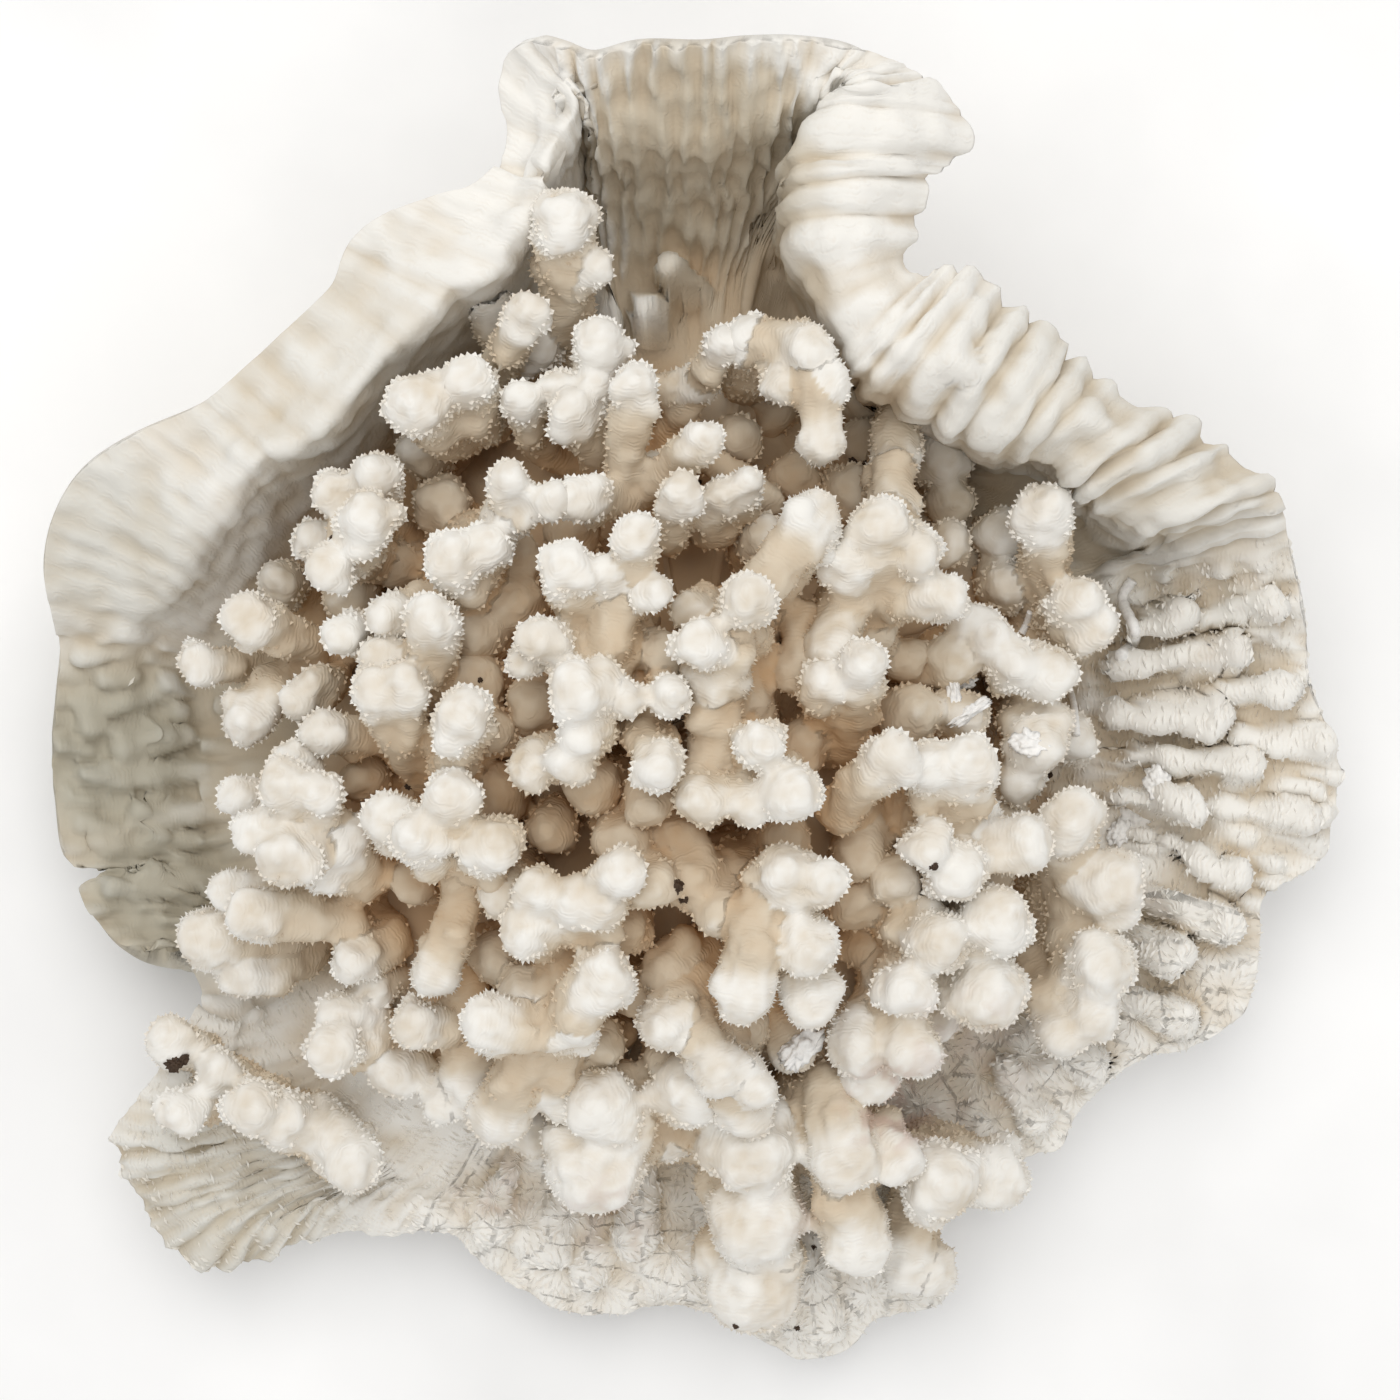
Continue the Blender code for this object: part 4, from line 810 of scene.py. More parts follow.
def profile(row):
    """The section of the plate's upper face at one place round the rim, from its middle to the rim."""
    rim, top, foot = row[0:3], row[3:6], row[6:9]
    mound = []
    for share in MOUND_RINGS:
        right, back = foot[0] * share, foot[1] * share
        mound.append((right, back, mound_height(right, back, foot[2])))
    lip = (top + rim) / 2 + np.array((0, 0, row[CROWN]))
    wall = foot + (top - foot) * (WALL_REACH, WALL_REACH, WALL_RISE)
    return np.array((*mound, foot, wall, top, lip, rim))


def undergrowth():
    """Shorter fingers scattered where the listed ones leave the dome bare, for each fork."""
    chance = random.Random(UNDERGROWTH_SEED)
    added = {name: [] for name in FORKS}
    taken = []
    for _, _, fingers in FORKS.values():
        for base, tip, _ in fingers:
            middle = ((base[0] + tip[0]) / 2, (base[1] + tip[1]) / 2)
            taken += [base[:2], middle, tip[:2]]
    grown_spots = []
    for _ in range(UNDERGROWTH_TRIES):
        right = MOUND_MIDDLE[0] + chance.uniform(-DOME_REACH, DOME_REACH)
        back = MOUND_MIDDLE[1] + chance.uniform(-DOME_REACH, DOME_REACH)
        drop = chance.uniform(*UNDERGROWTH_DROP)
        radius = chance.uniform(*UNDERGROWTH_RADIUS)
        out = math.dist((right, back), MOUND_MIDDLE)
        height = DOME_TOP - DOME_FALL * out**2 - drop
        if out > DOME_REACH or height < LOWEST_TIP:
            continue
        if min(math.dist((right, back), spot) for spot in taken) < UNDERGROWTH_CLEAR:
            continue
        if any(math.dist((right, back), spot) < UNDERGROWTH_SPACING for spot in grown_spots):
            continue
        grown_spots.append((right, back))
        lean = UNDERGROWTH_LEAN / max(out, UNDERGROWTH_LEAN)
        base = (
            right - (right - MOUND_MIDDLE[0]) * lean,
            back - (back - MOUND_MIDDLE[1]) * lean,
            height - UNDERGROWTH_LENGTH,
        )
        fork = min(FORKS, key=lambda name: math.dist(FORKS[name][0], (right, back)))
        added[fork].append((base, (right, back, height), radius))
    return added


def clamp(value, low=0.0, high=1.0):
    return np.clip(value, low, high)


def unit(vectors):
    """The vectors, each brought to a length of one."""
    return vectors / (np.linalg.norm(vectors, axis=-1, keepdims=True) + TINY)


def smoothstep(low, high, value):
    """Rises from nought at the low value to one at the high one, with soft ends."""
    part = clamp((value - low) / (high - low))
    return part * part * (3 - 2 * part)


def zone_weights(number):
    """The relief weights of a line of the rim."""
    for first, last, *weights in ZONES:
        if first <= number <= last:
            return weights
    raise ValueError(f"no zone holds line {number}")


def skin_rows():
    """The rim's lines as evenly spaced rows, with their relief weights."""
    rows = [(*row, *zone_weights(number)) for number, row in enumerate(station_rows())]
    return smooth_loop(rows, SKIN_AROUND)


def wander(reach, outward):
    """How far the pleats sway at a distance along the rim and a share of the way out."""
    (wide, slow), (narrow, quick) = PLEAT_SWAYS
    return wide * np.sin(reach / slow) + narrow * np.sin(reach / quick + 3 * outward)


def folds(turn):
    """Round crests with sharp grooves between them, from -1 to 1."""
    return 2 * abs(np.cos(turn)) ** FOLD_CREST - 1


def pleat_relief(rows, reach, outward, seed):
    """The pleats of the solid plate for a whole ring at once, uneven and with round crests."""
    pitch = PLEAT_PITCH + (ROLL_PITCH - PLEAT_PITCH) * rows[:, ROLLED]
    depth = PLEAT_DEPTH + (ROLL_DEPTH - PLEAT_DEPTH) * rows[:, ROLLED]
    fade = float(clamp((outward - FOOT_SHARE) / (TOP_SHARE - FOOT_SHARE)))
    spots = np.stack((reach, 0 * reach + FOLD_ACROSS * outward, 0 * reach), axis=1)
    drift = FOLD_DRIFT * grain(spots, FOLD_SLOW, seed + 5)
    drift = drift + FOLD_DRIFT_FINE * FOLD_DRIFT * grain(spots, FOLD_SLOW / FOLD_FINER[0], seed + 6)
    uneven = FOLD_UNEVEN[0] + FOLD_UNEVEN[1] * grain(spots, FOLD_SLOW / FOLD_FINER[1], seed + 7)
    turn = math.pi * (reach + wander(reach, outward) + drift) / pitch
    height = FOLD_SMALL[0] + FOLD_SMALL[1] * grain(spots, FOLD_SLOW / FOLD_FINER[2], seed + 8)
    small = folds(FOLD_SMALL_RATE * turn + 2) * height
    return depth * rows[:, PLEATS] * fade * (uneven * folds(turn) + small)


def slow_wave(sizes, reach, distance):
    """A slow sway of rows on the plate, by its reach and its lengths outwards and round the rim."""
    strength, outwards, around = sizes
    return strength * np.sin(distance / outwards + reach / around)


def ridge_relief(rows, reach, distance, outward):
    """Fine ridges that run outwards, deepest where the wall is bare, and that split and join."""
    fade = float(smoothstep(FOOT_SHARE + RIDGE_FADE[0], FOOT_SHARE + RIDGE_FADE[1], outward))
    sway = RIDGE_SWAY[0] * wander(reach * RIDGE_SWAY[1], outward) + slow_wave(RIDGE_WAVE, reach, distance)
    spots = np.stack((reach / RIDGE_GRAIN[0], distance / RIDGE_GRAIN[1], 0 * reach), axis=1)
    turn = 2 * math.pi * (reach + sway + RIDGE_DRIFT * grain(spots, 1.0, 41)) / RIDGE_PITCH
    sharp = 1 - 2 * abs(np.sin(turn / 2)) ** FOLD_CREST
    beads = RIDGE_BEADS[0] + RIDGE_BEADS[1] * grain(spots * RIDGE_BEAD_RATE, 1.0, 42)
    return RIDGE_HEIGHT * rows[:, RIDGES] * fade * sharp * beads


def lump_relief(rows, reach, distance, phases, outward):
    """Rows of drop-shaped lumps that point outwards, each row with its own phase."""
    warped = reach + slow_wave(LUMP_WAVE, reach, distance)
    column = np.floor(warped / LUMP_WIDTH).astype(int)
    across = warped / LUMP_WIDTH - column - 0.5
    step = distance / LUMP_LENGTH + phases[column % len(phases)]
    along = step % 1.0
    chosen = (7 * column + 13 * np.floor(step).astype(int)) % len(phases)
    size = LUMP_SIZES[0] + LUMP_SIZES[1] * phases[chosen]
    rise = smoothstep(0.0, LUMP_RISE, along)
    drop = 1 - smoothstep(LUMP_RISE, 1.0, along)
    taper = LUMP_TAPER + LUMP_TAPER * rise
    round_off = clamp(1 - (across / taper) ** 2) ** LUMP_ROUND
    fade = float(smoothstep(FOOT_SHARE + LUMP_FADE[0], FOOT_SHARE + LUMP_FADE[1], outward))
    return LUMP_HEIGHT * rows[:, LUMPS] * fade * size * round_off * rise * drop


def grain(points, size, seed):
    """Even random relief, one value for each point in millimetres."""
    shift = Vector((seed, 2.7 * seed, 5.1 * seed))
    return np.array([noise.noise(Vector(point) / size + shift) for point in points])


def lobe_lift(points):
    """Raises the places under each lobe of the plate to the lobe's round back."""
    for start, end, radius in PLATE_LOBES:
        low, high = np.array(place(*start)), np.array(place(*end))
        run = (high - low)[:2]
        part = clamp(((points[:, :2] - low[:2]) @ run) / (run @ run))
        axis = low + part[:, None] * (high - low)
        size = radius * (LOBE_TAPER + (1 - LOBE_TAPER) * part)
        beside = np.linalg.norm(points[:, :2] - axis[:, :2], axis=1)
        inside = beside < size
        back = axis[:, 2] + np.sqrt(clamp(size**2 - beside**2, 0, None))
        lift = np.where(inside, back - points[:, 2], -10 * BLEND)
        points[:, 2] += BLEND * np.log1p(np.exp(np.clip(lift / BLEND, *BLEND_LIMITS)))
    return points


def plate_grids(seed):
    """Upper and lower faces of the plate's skin, with how far out each point is and which way out lies."""
    rows = skin_rows()
    spans = np.linalg.norm(np.diff(rows[:, :3], axis=0, append=rows[:1, :3]), axis=1)
    reach = np.cumsum(spans)
    rows, spans, reach = (np.roll(part, -SEAM, axis=0) for part in (rows, spans, reach))
    sections = np.array([profile(row) for row in rows]).transpose(1, 0, 2)
    inner = np.linspace(0, FOOT_SPAN, MOUND_SKIN_RINGS, endpoint=False)
    steps = np.concatenate((inner, np.linspace(FOOT_SPAN, PROFILE_SPANS, WALL_SKIN_RINGS)))
    upper = np.array([spline(sections, step, False) for step in steps])
    normals = grid_normals(upper)
    outward = unit(np.gradient(upper, axis=0))
    leaps = np.linalg.norm(np.diff(upper, axis=0, prepend=upper[:1]), axis=2)
    distance = np.cumsum(leaps, axis=0)
    share = steps / PROFILE_SPANS
    thickness = np.interp(
        share, (FOOT_SHARE, TOP_SHARE, 1), (FLOOR_THICKNESS, WALL_THICKNESS, RIM_THICKNESS)
    )
    lower = upper - normals * thickness[:, None, None]
    phases = np.random.default_rng(seed).random(LUMP_PHASES)
    for out in range(len(steps)):
        relief = pleat_relief(rows, reach, share[out], seed)
        relief += ridge_relief(rows, reach, distance[out], share[out])
        relief += lump_relief(rows, reach, distance[out], phases, share[out])
        bare = 1 - float(smoothstep(FOOT_SHARE - MOUND_FADE, FOOT_SHARE, share[out]))
        relief += bare * MOUND_KNOB_HEIGHT * grain(upper[out], MOUND_KNOB_SIZE, seed + 1)
        upper[out] += normals[out] * relief[:, None]
    points = lobe_lift(upper.reshape(-1, 3))
    upper = points.reshape(upper.shape)
    knobs = PLATE_KNOB_HEIGHT * grain(points, PLATE_KNOB_SIZE, seed + 2).reshape(upper.shape[:2])
    fine = GRAIN_HEIGHT * grain(points, GRAIN_SIZE, seed).reshape(upper.shape[:2])
    upper = upper + grid_normals(upper) * (knobs * rows[None, :, KNOBS] + fine)[:, :, None]
    kept = sorted(range(len(steps) - 1, MOUND_SKIN_RINGS - 1, -UNDERSIDE_STEP))
    lower = lower[kept]
    for number in range(EVEN_RINGS):
        lower[number] += (1 - number / EVEN_RINGS) * (evened(lower[number]) - lower[number])
    return rows, upper, lower, distance, outward, np.cumsum(spans)


def evened(ring):
    """A ring with the tight folds averaged out of it."""
    for _ in range(EVEN_TURNS):
        ring = sum(np.roll(ring, shift, axis=0) for shift in range(-EVEN_REACH, EVEN_REACH + 1))
        ring = ring / (2 * EVEN_REACH + 1)
    return ring


def grid_normals(grid):
    """The direction square to a grid of points at each of them."""
    across = np.roll(grid, -1, axis=1) - np.roll(grid, 1, axis=1)
    return unit(np.cross(np.gradient(grid, axis=0), across))


def star_middles(seed):
    """Middles of the star-shaped cups on the front of the plate, seen from above."""
    chance = random.Random(seed)
    middles = []
    for _ in range(STAR_TRIES):
        spot = (chance.uniform(*STAR_AREA[0]), chance.uniform(*STAR_AREA[1]))
        if all(math.dist(spot, other) > STAR_SPACING for other in middles):
            middles.append(spot)
    return np.array(middles)


def star_field(points, seed):
    """For each point the direction round its nearest cup, and the angle round it as a length."""
    middles = star_middles(seed)
    offsets = points[:, None, :2] - middles[None]
    nearest = np.argmin((offsets**2).sum(axis=2), axis=1)
    off = points[:, :2] - middles[nearest]
    angle = np.arctan2(off[:, 1], off[:, 0])
    round_it = np.stack((-off[:, 1], off[:, 0], 0 * angle), axis=1)
    return unit(round_it), angle * STAR_ARMS / (2 * math.pi)


def foot_rings(lower):
    """Rings of the underside between the wall's foot and the flat cut."""
    angles = np.arctan2(lower[0][:, 1], lower[0][:, 0])
    right, back = FOOT_REACH[0] * np.cos(angles), FOOT_REACH[1] * np.sin(angles)
    cut = np.stack((right, back, 0 * angles - CUT_SINK), axis=1)
    rings = []
    for share in FOOT_RINGS:
        ring = cut + (lower[0] - cut) * share
        ring[:, 2] += FOOT_FLARE * math.sin(math.pi * share)
        rings.append(ring)
    return np.array(rings)


def tone_of(points, gloom, sheltered):
    """Red is how deep the painted shade is, green how much painted grey-green shade there is and blue how
    worn a place is.

    What is sheltered by the thicket takes the listed patches of painted shade only where it lies well under
    the dome.
    """
    seen = points[:, :2] / (1 - points[:, 2:3] / SIGHT_HEIGHT)
    out = np.linalg.norm(seen - np.array(MOUND_MIDDLE), axis=1)
    dome = DOME_TOP - DOME_FALL * out**2
    # Painted shade: the deeper a place lies under the dome of fingers, the darker it is painted.
    depth = smoothstep(*SHADE_DEPTHS, dome - points[:, 2])
    depth *= 1 - smoothstep(DOME_REACH + SHADE_EDGE[0], DOME_REACH + SHADE_EDGE[1], out)
    patches = grain(points, WEAR_SIZE, 22) + WEAR_FINE[0] * grain(points, WEAR_SIZE / WEAR_FINE[1], 23)
    shade_and_stain, grey, worn = np.zeros((3, len(points)))
    # Listed patches: painted shade, painted grey-green shade and real wear, each fading at its edge.
    for right, back, reach, *strengths in SHADE_AND_WEAR_PATCHES:
        off = np.linalg.norm(seen - (right, back), axis=1)
        near = 1 - smoothstep(SHADE_PATCH_EDGE[0] * reach, SHADE_PATCH_EDGE[1] * reach, off)
        shade_and_stain, grey, worn = (
            np.maximum(so_far, near * strength)
            for so_far, strength in zip((shade_and_stain, grey, worn), strengths)
        )
    if sheltered:
        low = smoothstep(0, SHELTER, dome - points[:, 2])
        shade_and_stain, grey = shade_and_stain * low, grey * low
    depth = clamp(np.maximum(depth, shade_and_stain) + gloom + BLOTCH * grain(points, BLOTCH_SIZE, 21))
    patchy = smoothstep(*WEAR_PATCHES, patches)
    return np.stack((depth, grey, worn * patchy, np.ones(len(points))), axis=1)


def set_attribute(mesh, name, kind, values):
    """Stores one value for each point; the kind is Blender's name for the type."""
    keys = {"FLOAT": "value", "FLOAT_VECTOR": "vector", "FLOAT_COLOR": "color"}
    attribute = mesh.attributes.new(name, kind, "POINT")
    attribute.data.foreach_set(keys[kind], np.asarray(values, np.float32).ravel())


def read_points(mesh, what="co"):
    """The places of a mesh's points, or their normals, one row for each."""
    values = np.empty(len(mesh.vertices) * 3, np.float32)
    mesh.vertices.foreach_get(what, values)
    return values.reshape(-1, 3).astype(float)


def put_points(mesh, points):
    """Moves a mesh's points to new places."""
    mesh.vertices.foreach_set("co", np.asarray(points, np.float32).ravel())
    mesh.update()


def keep_in_box(mesh):
    """Presses the few outermost points back to the solids' own box."""
    low, high = (np.array(corner) for corner in CAD_BOX)
    put_points(mesh, np.clip(read_points(mesh), low, high))


def close_up(shape, mesh):
    """Turns the faces outwards, stores the shape in the mesh and lets go of it."""
    bmesh.ops.recalc_face_normals(shape, faces=shape.faces)
    shape.to_mesh(mesh)
    shape.free()


def object_of(name, mesh):
    """A new object in the scene that shows the mesh, light or camera."""
    obj = bpy.data.objects.new(name, mesh)
    bpy.context.scene.collection.objects.link(obj)
    return obj


def bake(obj):
    """Puts the result of the object's modifiers into its mesh, and takes them off."""
    bpy.context.view_layer.update()
    graph = bpy.context.evaluated_depsgraph_get()
    mesh = bpy.data.meshes.new_from_object(obj.evaluated_get(graph))
    old = obj.data
    obj.modifiers.clear()
    obj.data = mesh
    if old.users == 0:
        bpy.data.meshes.remove(old)


def dress(obj, material, node=None):
    """The last steps for every skin and growth: its finish, its body and the solid that it stands for."""
    keep_in_box(obj.data)
    obj.data.materials.clear()
    obj.data.materials.append(material)
    obj.data.shade_smooth()
    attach(obj, "root")
    if node:
        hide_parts(node)


def painted_groove_shade(upper):
    """Painted shade in the plate's grooves and painted light on its ridges: how far each place lies under the
    even run of its neighbours.
    """
    even = upper
    for _ in range(GLOOM_SPREAD):
        across = np.roll(even, 1, axis=1) + np.roll(even, -1, axis=1)
        inward = np.concatenate((even[:1], even[:-1]))
        outward = np.concatenate((even[1:], even[-1:]))
        even = (across + inward + outward) / 4
    proud = ((upper - even) * grid_normals(even)).sum(axis=2)
    return np.clip(-proud / GLOOM_DEPTH, *GLOOM_LIMITS) * GLOOM_SHARE


def plate_faces(rings, points):
    """Joins the rings into a closed net, with a fan round each of the last two points."""
    count = SKIN_AROUND
    ring, around = np.meshgrid(np.arange(rings - 1), np.arange(count), indexing="ij")
    here, after = ring * count + around, ring * count + (around + 1) % count
    faces = np.stack((here, after, after + count, here + count), axis=2).reshape(-1, 4)[:, ::-1]
    faces = [tuple(face) for face in faces.tolist()]
    first, last = points - 2, points - 1
    end = (rings - 1) * count
    for step in range(count):
        beside = (step + 1) % count
        faces.append((first, step, beside))
        faces.append((last, end + beside, end + step))
    return faces


def filled(values, count):
    """The values in one row, with noughts after them up to a count."""
    row = np.zeros(count)
    row[: values.size] = values.ravel()
    return row


def make_plate_skin(material, seed):
    """The plate's skin, with what its finish and its septa need to know stored at each point."""
    rows, upper, lower, distance, outward, run = plate_grids(seed)
    rings = np.concatenate((upper, lower[::-1], foot_rings(lower)[::-1]))
    points = np.concatenate((rings.reshape(-1, 3), ((*MOUND_MIDDLE, MOUND_TOP), (0, 0, 0))))
    points[:, 2] = np.maximum(points[:, 2], 0)
    total = len(points)
    mesh = bpy.data.meshes.new("plate_skin")
    mesh.from_pydata((points * MM).tolist(), [], plate_faces(len(rings), total))
    shape = bmesh.new()
    shape.from_mesh(mesh)
    close_up(shape, mesh)
    mesh.update()
    upper_rings = len(upper)
    upper_count = upper_rings * SKIN_AROUND
    bare = smoothstep(*BARE_MIDDLE, np.linspace(0, PROFILE_SPANS, upper_rings))[:, None]
    along = filled(distance, total)
    across = filled(np.tile(run, upper_rings), total)
    septa = filled(rows[None, :, SEPTA] * bare, total)
    streaks = filled(rows[None, :, STREAKS] * bare, total)
    starry = filled(np.tile(rows[:, STARS], upper_rings), total) > 0.5
    axis = np.tile((0.0, 0.0, 1.0), (total, 1))
    axis[:upper_count] = outward.reshape(-1, 3)
    round_it, turns = star_field(points[starry], seed)
    axis[starry] = round_it
    along[starry] = turns * SEPTA_PITCH
    # Painted shade in the plate's grooves, and painted light on its ridges.
    tone = tone_of(points, filled(painted_groove_shade(upper), total), False)
    # Painted shade on the underside is held to a pale limit.
    tone[upper_count:, 0] = np.minimum(tone[upper_count:, 0], UNDERSIDE_SHADE)
    set_attribute(mesh, "weave", "FLOAT_VECTOR", np.stack((along, across, streaks), axis=1))
    set_attribute(mesh, "ridge_axis", "FLOAT_VECTOR", axis)
    set_attribute(mesh, "septa", "FLOAT", septa)
    set_attribute(mesh, "blades", "FLOAT", clamp((septa - BARE_BELOW) / (1 - BARE_BELOW)))
    set_attribute(mesh, "tone", "FLOAT_COLOR", tone)
    dress(object_of("plate_skin", mesh), material, "plate")


def ball_directions():
    """Unit vectors spread evenly over a ball."""
    shape = bmesh.new()
    ball = bmesh.ops.create_icosphere(shape, subdivisions=BALL_DETAIL, radius=1.0)
    directions = [vert.co.copy() for vert in ball["verts"]]
    shape.free()
    return directions


def add_limb(shape, directions, start, end, start_radius, end_radius):
    """A tapered finger with round ends: the hull of a ball at each end."""
    points = []
    for centre, radius in ((start, start_radius), (end, end_radius)):
        points += [shape.verts.new(centre + direction * radius) for direction in directions]
    hull = bmesh.ops.convex_hull(shape, input=points)
    inside = hull["geom_interior"] + hull["geom_unused"]
    spare = {item for item in inside if isinstance(item, bmesh.types.BMVert)}
    bmesh.ops.delete(shape, geom=list(spare), context="VERTS")


def fork_limbs(root, stem_radius, fingers):
    """Each limb of a fork as start, end and two radii, and each finger's axis."""
    foot = place(*root, mound_height(*root, PLATE_LEVEL) - ROOT_DEPTH)
    limbs = []
    axes = []
    for base_place, tip_place, radius in fingers:
        base, tip = place(*base_place), place(*tip_place)
        thick = radius * FINGER_SWELL
        waist = thick * FINGER_WAIST
        middle = foot.lerp(base, STEM_BEND)
        limbs.append((base, tip, waist, thick))
        limbs.append((middle, base, waist * STEM_MIDDLE, waist))
        limbs.append((foot, middle, max(stem_radius, waist * STEM_FOOT), waist * STEM_MIDDLE))
        axes.append((base, tip, thick, True))
        axes.append((middle, base, waist, False))
    return limbs, axes


def add_buds(shape, start, end, radius, chance):
    """Small round buds about a finger's tip and one lower down, which make it knobby."""
    run = (end - start).normalized()
    side = run.orthogonal().normalized()
    first_turn = chance.uniform(0, 2 * math.pi)
    for number in range(BUDS):
        turn = first_turn + number * 2 * math.pi / BUDS + chance.uniform(-BUD_TWIST, BUD_TWIST)
        outward = Matrix.Rotation(turn, 3, run) @ side
        size = radius * chance.uniform(*BUD_SIZE)
        down = chance.uniform(0.0, BUD_DROP) * radius if number else LOW_BUD * (end - start).length
        middle = Matrix.Translation(end - run * down + outward * (radius * BUD_OUT))
        bmesh.ops.create_icosphere(shape, subdivisions=BUD_DETAIL, radius=size, matrix=middle)


def nearest_axis(points, axes):
    """For each point how far along its finger it lies, the finger's run, and how far it is from the tip."""
    best = np.full(len(points), np.inf)
    along = np.zeros(len(points))
    below = np.zeros(len(points))
    runs = np.zeros((len(points), 3))
    for start, end, radius, is_tip in axes:
        low, high = np.array(start), np.array(end)
        run = high - low
        length = np.linalg.norm(run) + SHORTEST
        reach = (points - low) @ run / length
        foot = low + np.clip(reach, 0, length)[:, None] * run / length
        gap = np.linalg.norm(points - foot, axis=1) / radius
        closer = gap < best
        best[closer] = gap[closer]
        along[closer] = reach[closer]
        below[closer] = length - reach[closer] if is_tip else FAR_BELOW
        runs[closer] = run / length
    return along, runs, below


def drop_buried(mesh, plate):
    """Takes away the roots that the plate hides or that would come out under it, and closes the rest."""
    shape = bmesh.new()
    shape.from_mesh(mesh)
    buried = []
    for vert in shape.verts:
        _, facing, _, distance = plate.ray_cast(vert.co, Vector((0, 0, 1)))
        if facing is None:
            continue
        sunk = facing.z > 0 and distance > BURIED * MM
        if sunk or plate.ray_cast(vert.co, Vector((0, 0, -1)))[0] is None:
            buried.append(vert)
    bmesh.ops.delete(shape, geom=buried, context="VERTS")
    rim = [edge for edge in shape.edges if edge.is_boundary]
    bmesh.ops.holes_fill(shape, edges=rim, sides=0)
    bmesh.ops.triangulate(shape, faces=[face for face in shape.faces if len(face.verts) > 4])
    close_up(shape, mesh)


def melted_fork(name, limbs, axes, settings, directions):
    """The limbs and buds of a fork, melted into one skin."""
    shape = bmesh.new()
    for limb in limbs:
        add_limb(shape, directions, *limb)
    chance = random.Random(settings.seed)
    for start, end, radius, is_tip in axes:
        if is_tip:
            add_buds(shape, start, end, radius, chance)
    bmesh.ops.scale(shape, vec=(MM, MM, MM), verts=shape.verts)
    mesh = bpy.data.meshes.new(name + "_skin")
    close_up(shape, mesh)
    skin = object_of(name + "_skin", mesh)
    melt = skin.modifiers.new("melt", "REMESH")
    melt.mode = "VOXEL"
    melt.voxel_size = settings.skin_grain
    soften = skin.modifiers.new("soften", "SMOOTH")
    soften.factor = MELT_SMOOTHING
    soften.iterations = MELT_TURNS
    bake(skin)
    return skin


def make_fork_skin(name, root, stem_radius, fingers, settings, directions, plate, material):
    """A fork's skin, with what its finish and its septa need to know stored at each point."""
    limbs, axes = fork_limbs(root, stem_radius, fingers)
    skin = melted_fork(name, limbs, axes, settings, directions)
    mesh = skin.data
    drop_buried(mesh, plate)
    points = read_points(mesh) / MM
    normals = read_points(mesh, "normal")
    along, runs, below = nearest_axis(points, axes)
    knobs, fine = grain(points, KNOB_SIZE, 3), grain(points, KNOB_SIZE / 3, 4)
    points += normals * (KNOB_HEIGHT * knobs + KNOB_GRAIN * fine)[:, None]
    put_points(mesh, points * MM)
    # Painted shade over every finger, deepening below its tip.
    shaft = FINGER_SHADE + SHAFT_SHADE * smoothstep(*SHAFT_SPAN, below)
    # Painted shade in the hollows between the knobs, lighter on their tops.
    tone = tone_of(points, shaft - KNOB_SHADE * knobs - KNOB_SHADE * fine, True)
    rise = normals[:, 2]
    edges = smoothstep(*UNDER_BLADES, rise) * (1 - smoothstep(*EDGE_BLADES, rise))
    set_attribute(mesh, "weave", "FLOAT_VECTOR", np.stack((along, 0 * along, 0 * along), axis=1))
    set_attribute(mesh, "ridge_axis", "FLOAT_VECTOR", runs)
    set_attribute(mesh, "septa", "FLOAT", smoothstep(*UNDER_SEPTA, rise))
    set_attribute(mesh, "blades", "FLOAT", edges * (1 - BLADES_IN_SHADE * tone[:, 0]))
    set_attribute(mesh, "tone", "FLOAT_COLOR", tone)
    dress(skin, material, name)


class Nodes:
    """A small help for joining nodes: each call adds a node and links or sets its inputs."""

    def __init__(self, tree):
        self.tree = tree

    def add(self, kind, inputs=None, **settings):
        node = self.tree.nodes.new(kind)
        for key, value in settings.items():
            setattr(node, key, value)
        for key, value in (inputs or {}).items():
            socket = node.inputs[key]
            if isinstance(value, bpy.types.NodeSocket):
                self.tree.links.new(value, socket)
            else:
                socket.default_value = value
        return node

    def math(self, operation, *values, clamped=False):
        given = dict(enumerate(values))
        return self.add("ShaderNodeMath", given, operation=operation, use_clamp=clamped).outputs[0]

    def mix(self, part, first, second):
        """Two colours mixed; the colour sockets of the node have the numbers 6 and 7."""
        return self.add("ShaderNodeMix", {0: part, 6: first, 7: second}, data_type="RGBA").outputs[2]

    def stored(self, name, output):
        """What a skin has stored at each point under a name."""
        return self.add("ShaderNodeAttribute", attribute_name=name).outputs[output]

    def noise(self, scale, detail):
        """Even noise in the object's own space."""
        spot = self.add("ShaderNodeTexCoord").outputs["Object"]
        given = {"Vector": spot, "Scale": scale, "Detail": detail}
        return self.add("ShaderNodeTexNoise", given).outputs["Fac"]

    def uneven(self, least, most, seed):
        """A chance number for each instance; the float sockets of the node have the numbers 2 and 3."""
        given = {2: least, 3: most, "Seed": seed}
        return self.add("FunctionNodeRandomValue", given, data_type="FLOAT").outputs[1]

    def ramp(self, value, stops):
        """A colour read off a ramp of stops, each a position and a colour."""
        node = self.add("ShaderNodeValToRGB", {0: value})
        elements = node.color_ramp.elements
        while len(elements) < len(stops):
            elements.new(0.5)
        for element, (position, colour) in zip(elements, stops):
            element.position = position
            element.color = colour
        return node.outputs[0]


def rgba(colour):
    return (*colour[:3], 1.0)


def new_finish(name, roughness, shine):
    """A new material, its nodes and its shader."""
    material = bpy.data.materials.new(name)
    material.use_nodes = True
    shader = material.node_tree.nodes["Principled BSDF"]
    shader.inputs["Roughness"].default_value = roughness
    shader.inputs["Specular IOR Level"].default_value = shine
    return material, Nodes(material.node_tree), shader


def coat(nodes, shader, colour, height=None, strength=0.0, depth=0.0):
    """Gives a shader its colour, and a fine relief where there is one."""
    nodes.tree.links.new(colour, shader.inputs["Base Color"])
    if height is not None:
        bump = nodes.add("ShaderNodeBump", {"Height": height, "Strength": strength, "Distance": depth})
        nodes.tree.links.new(bump.outputs["Normal"], shader.inputs["Normal"])


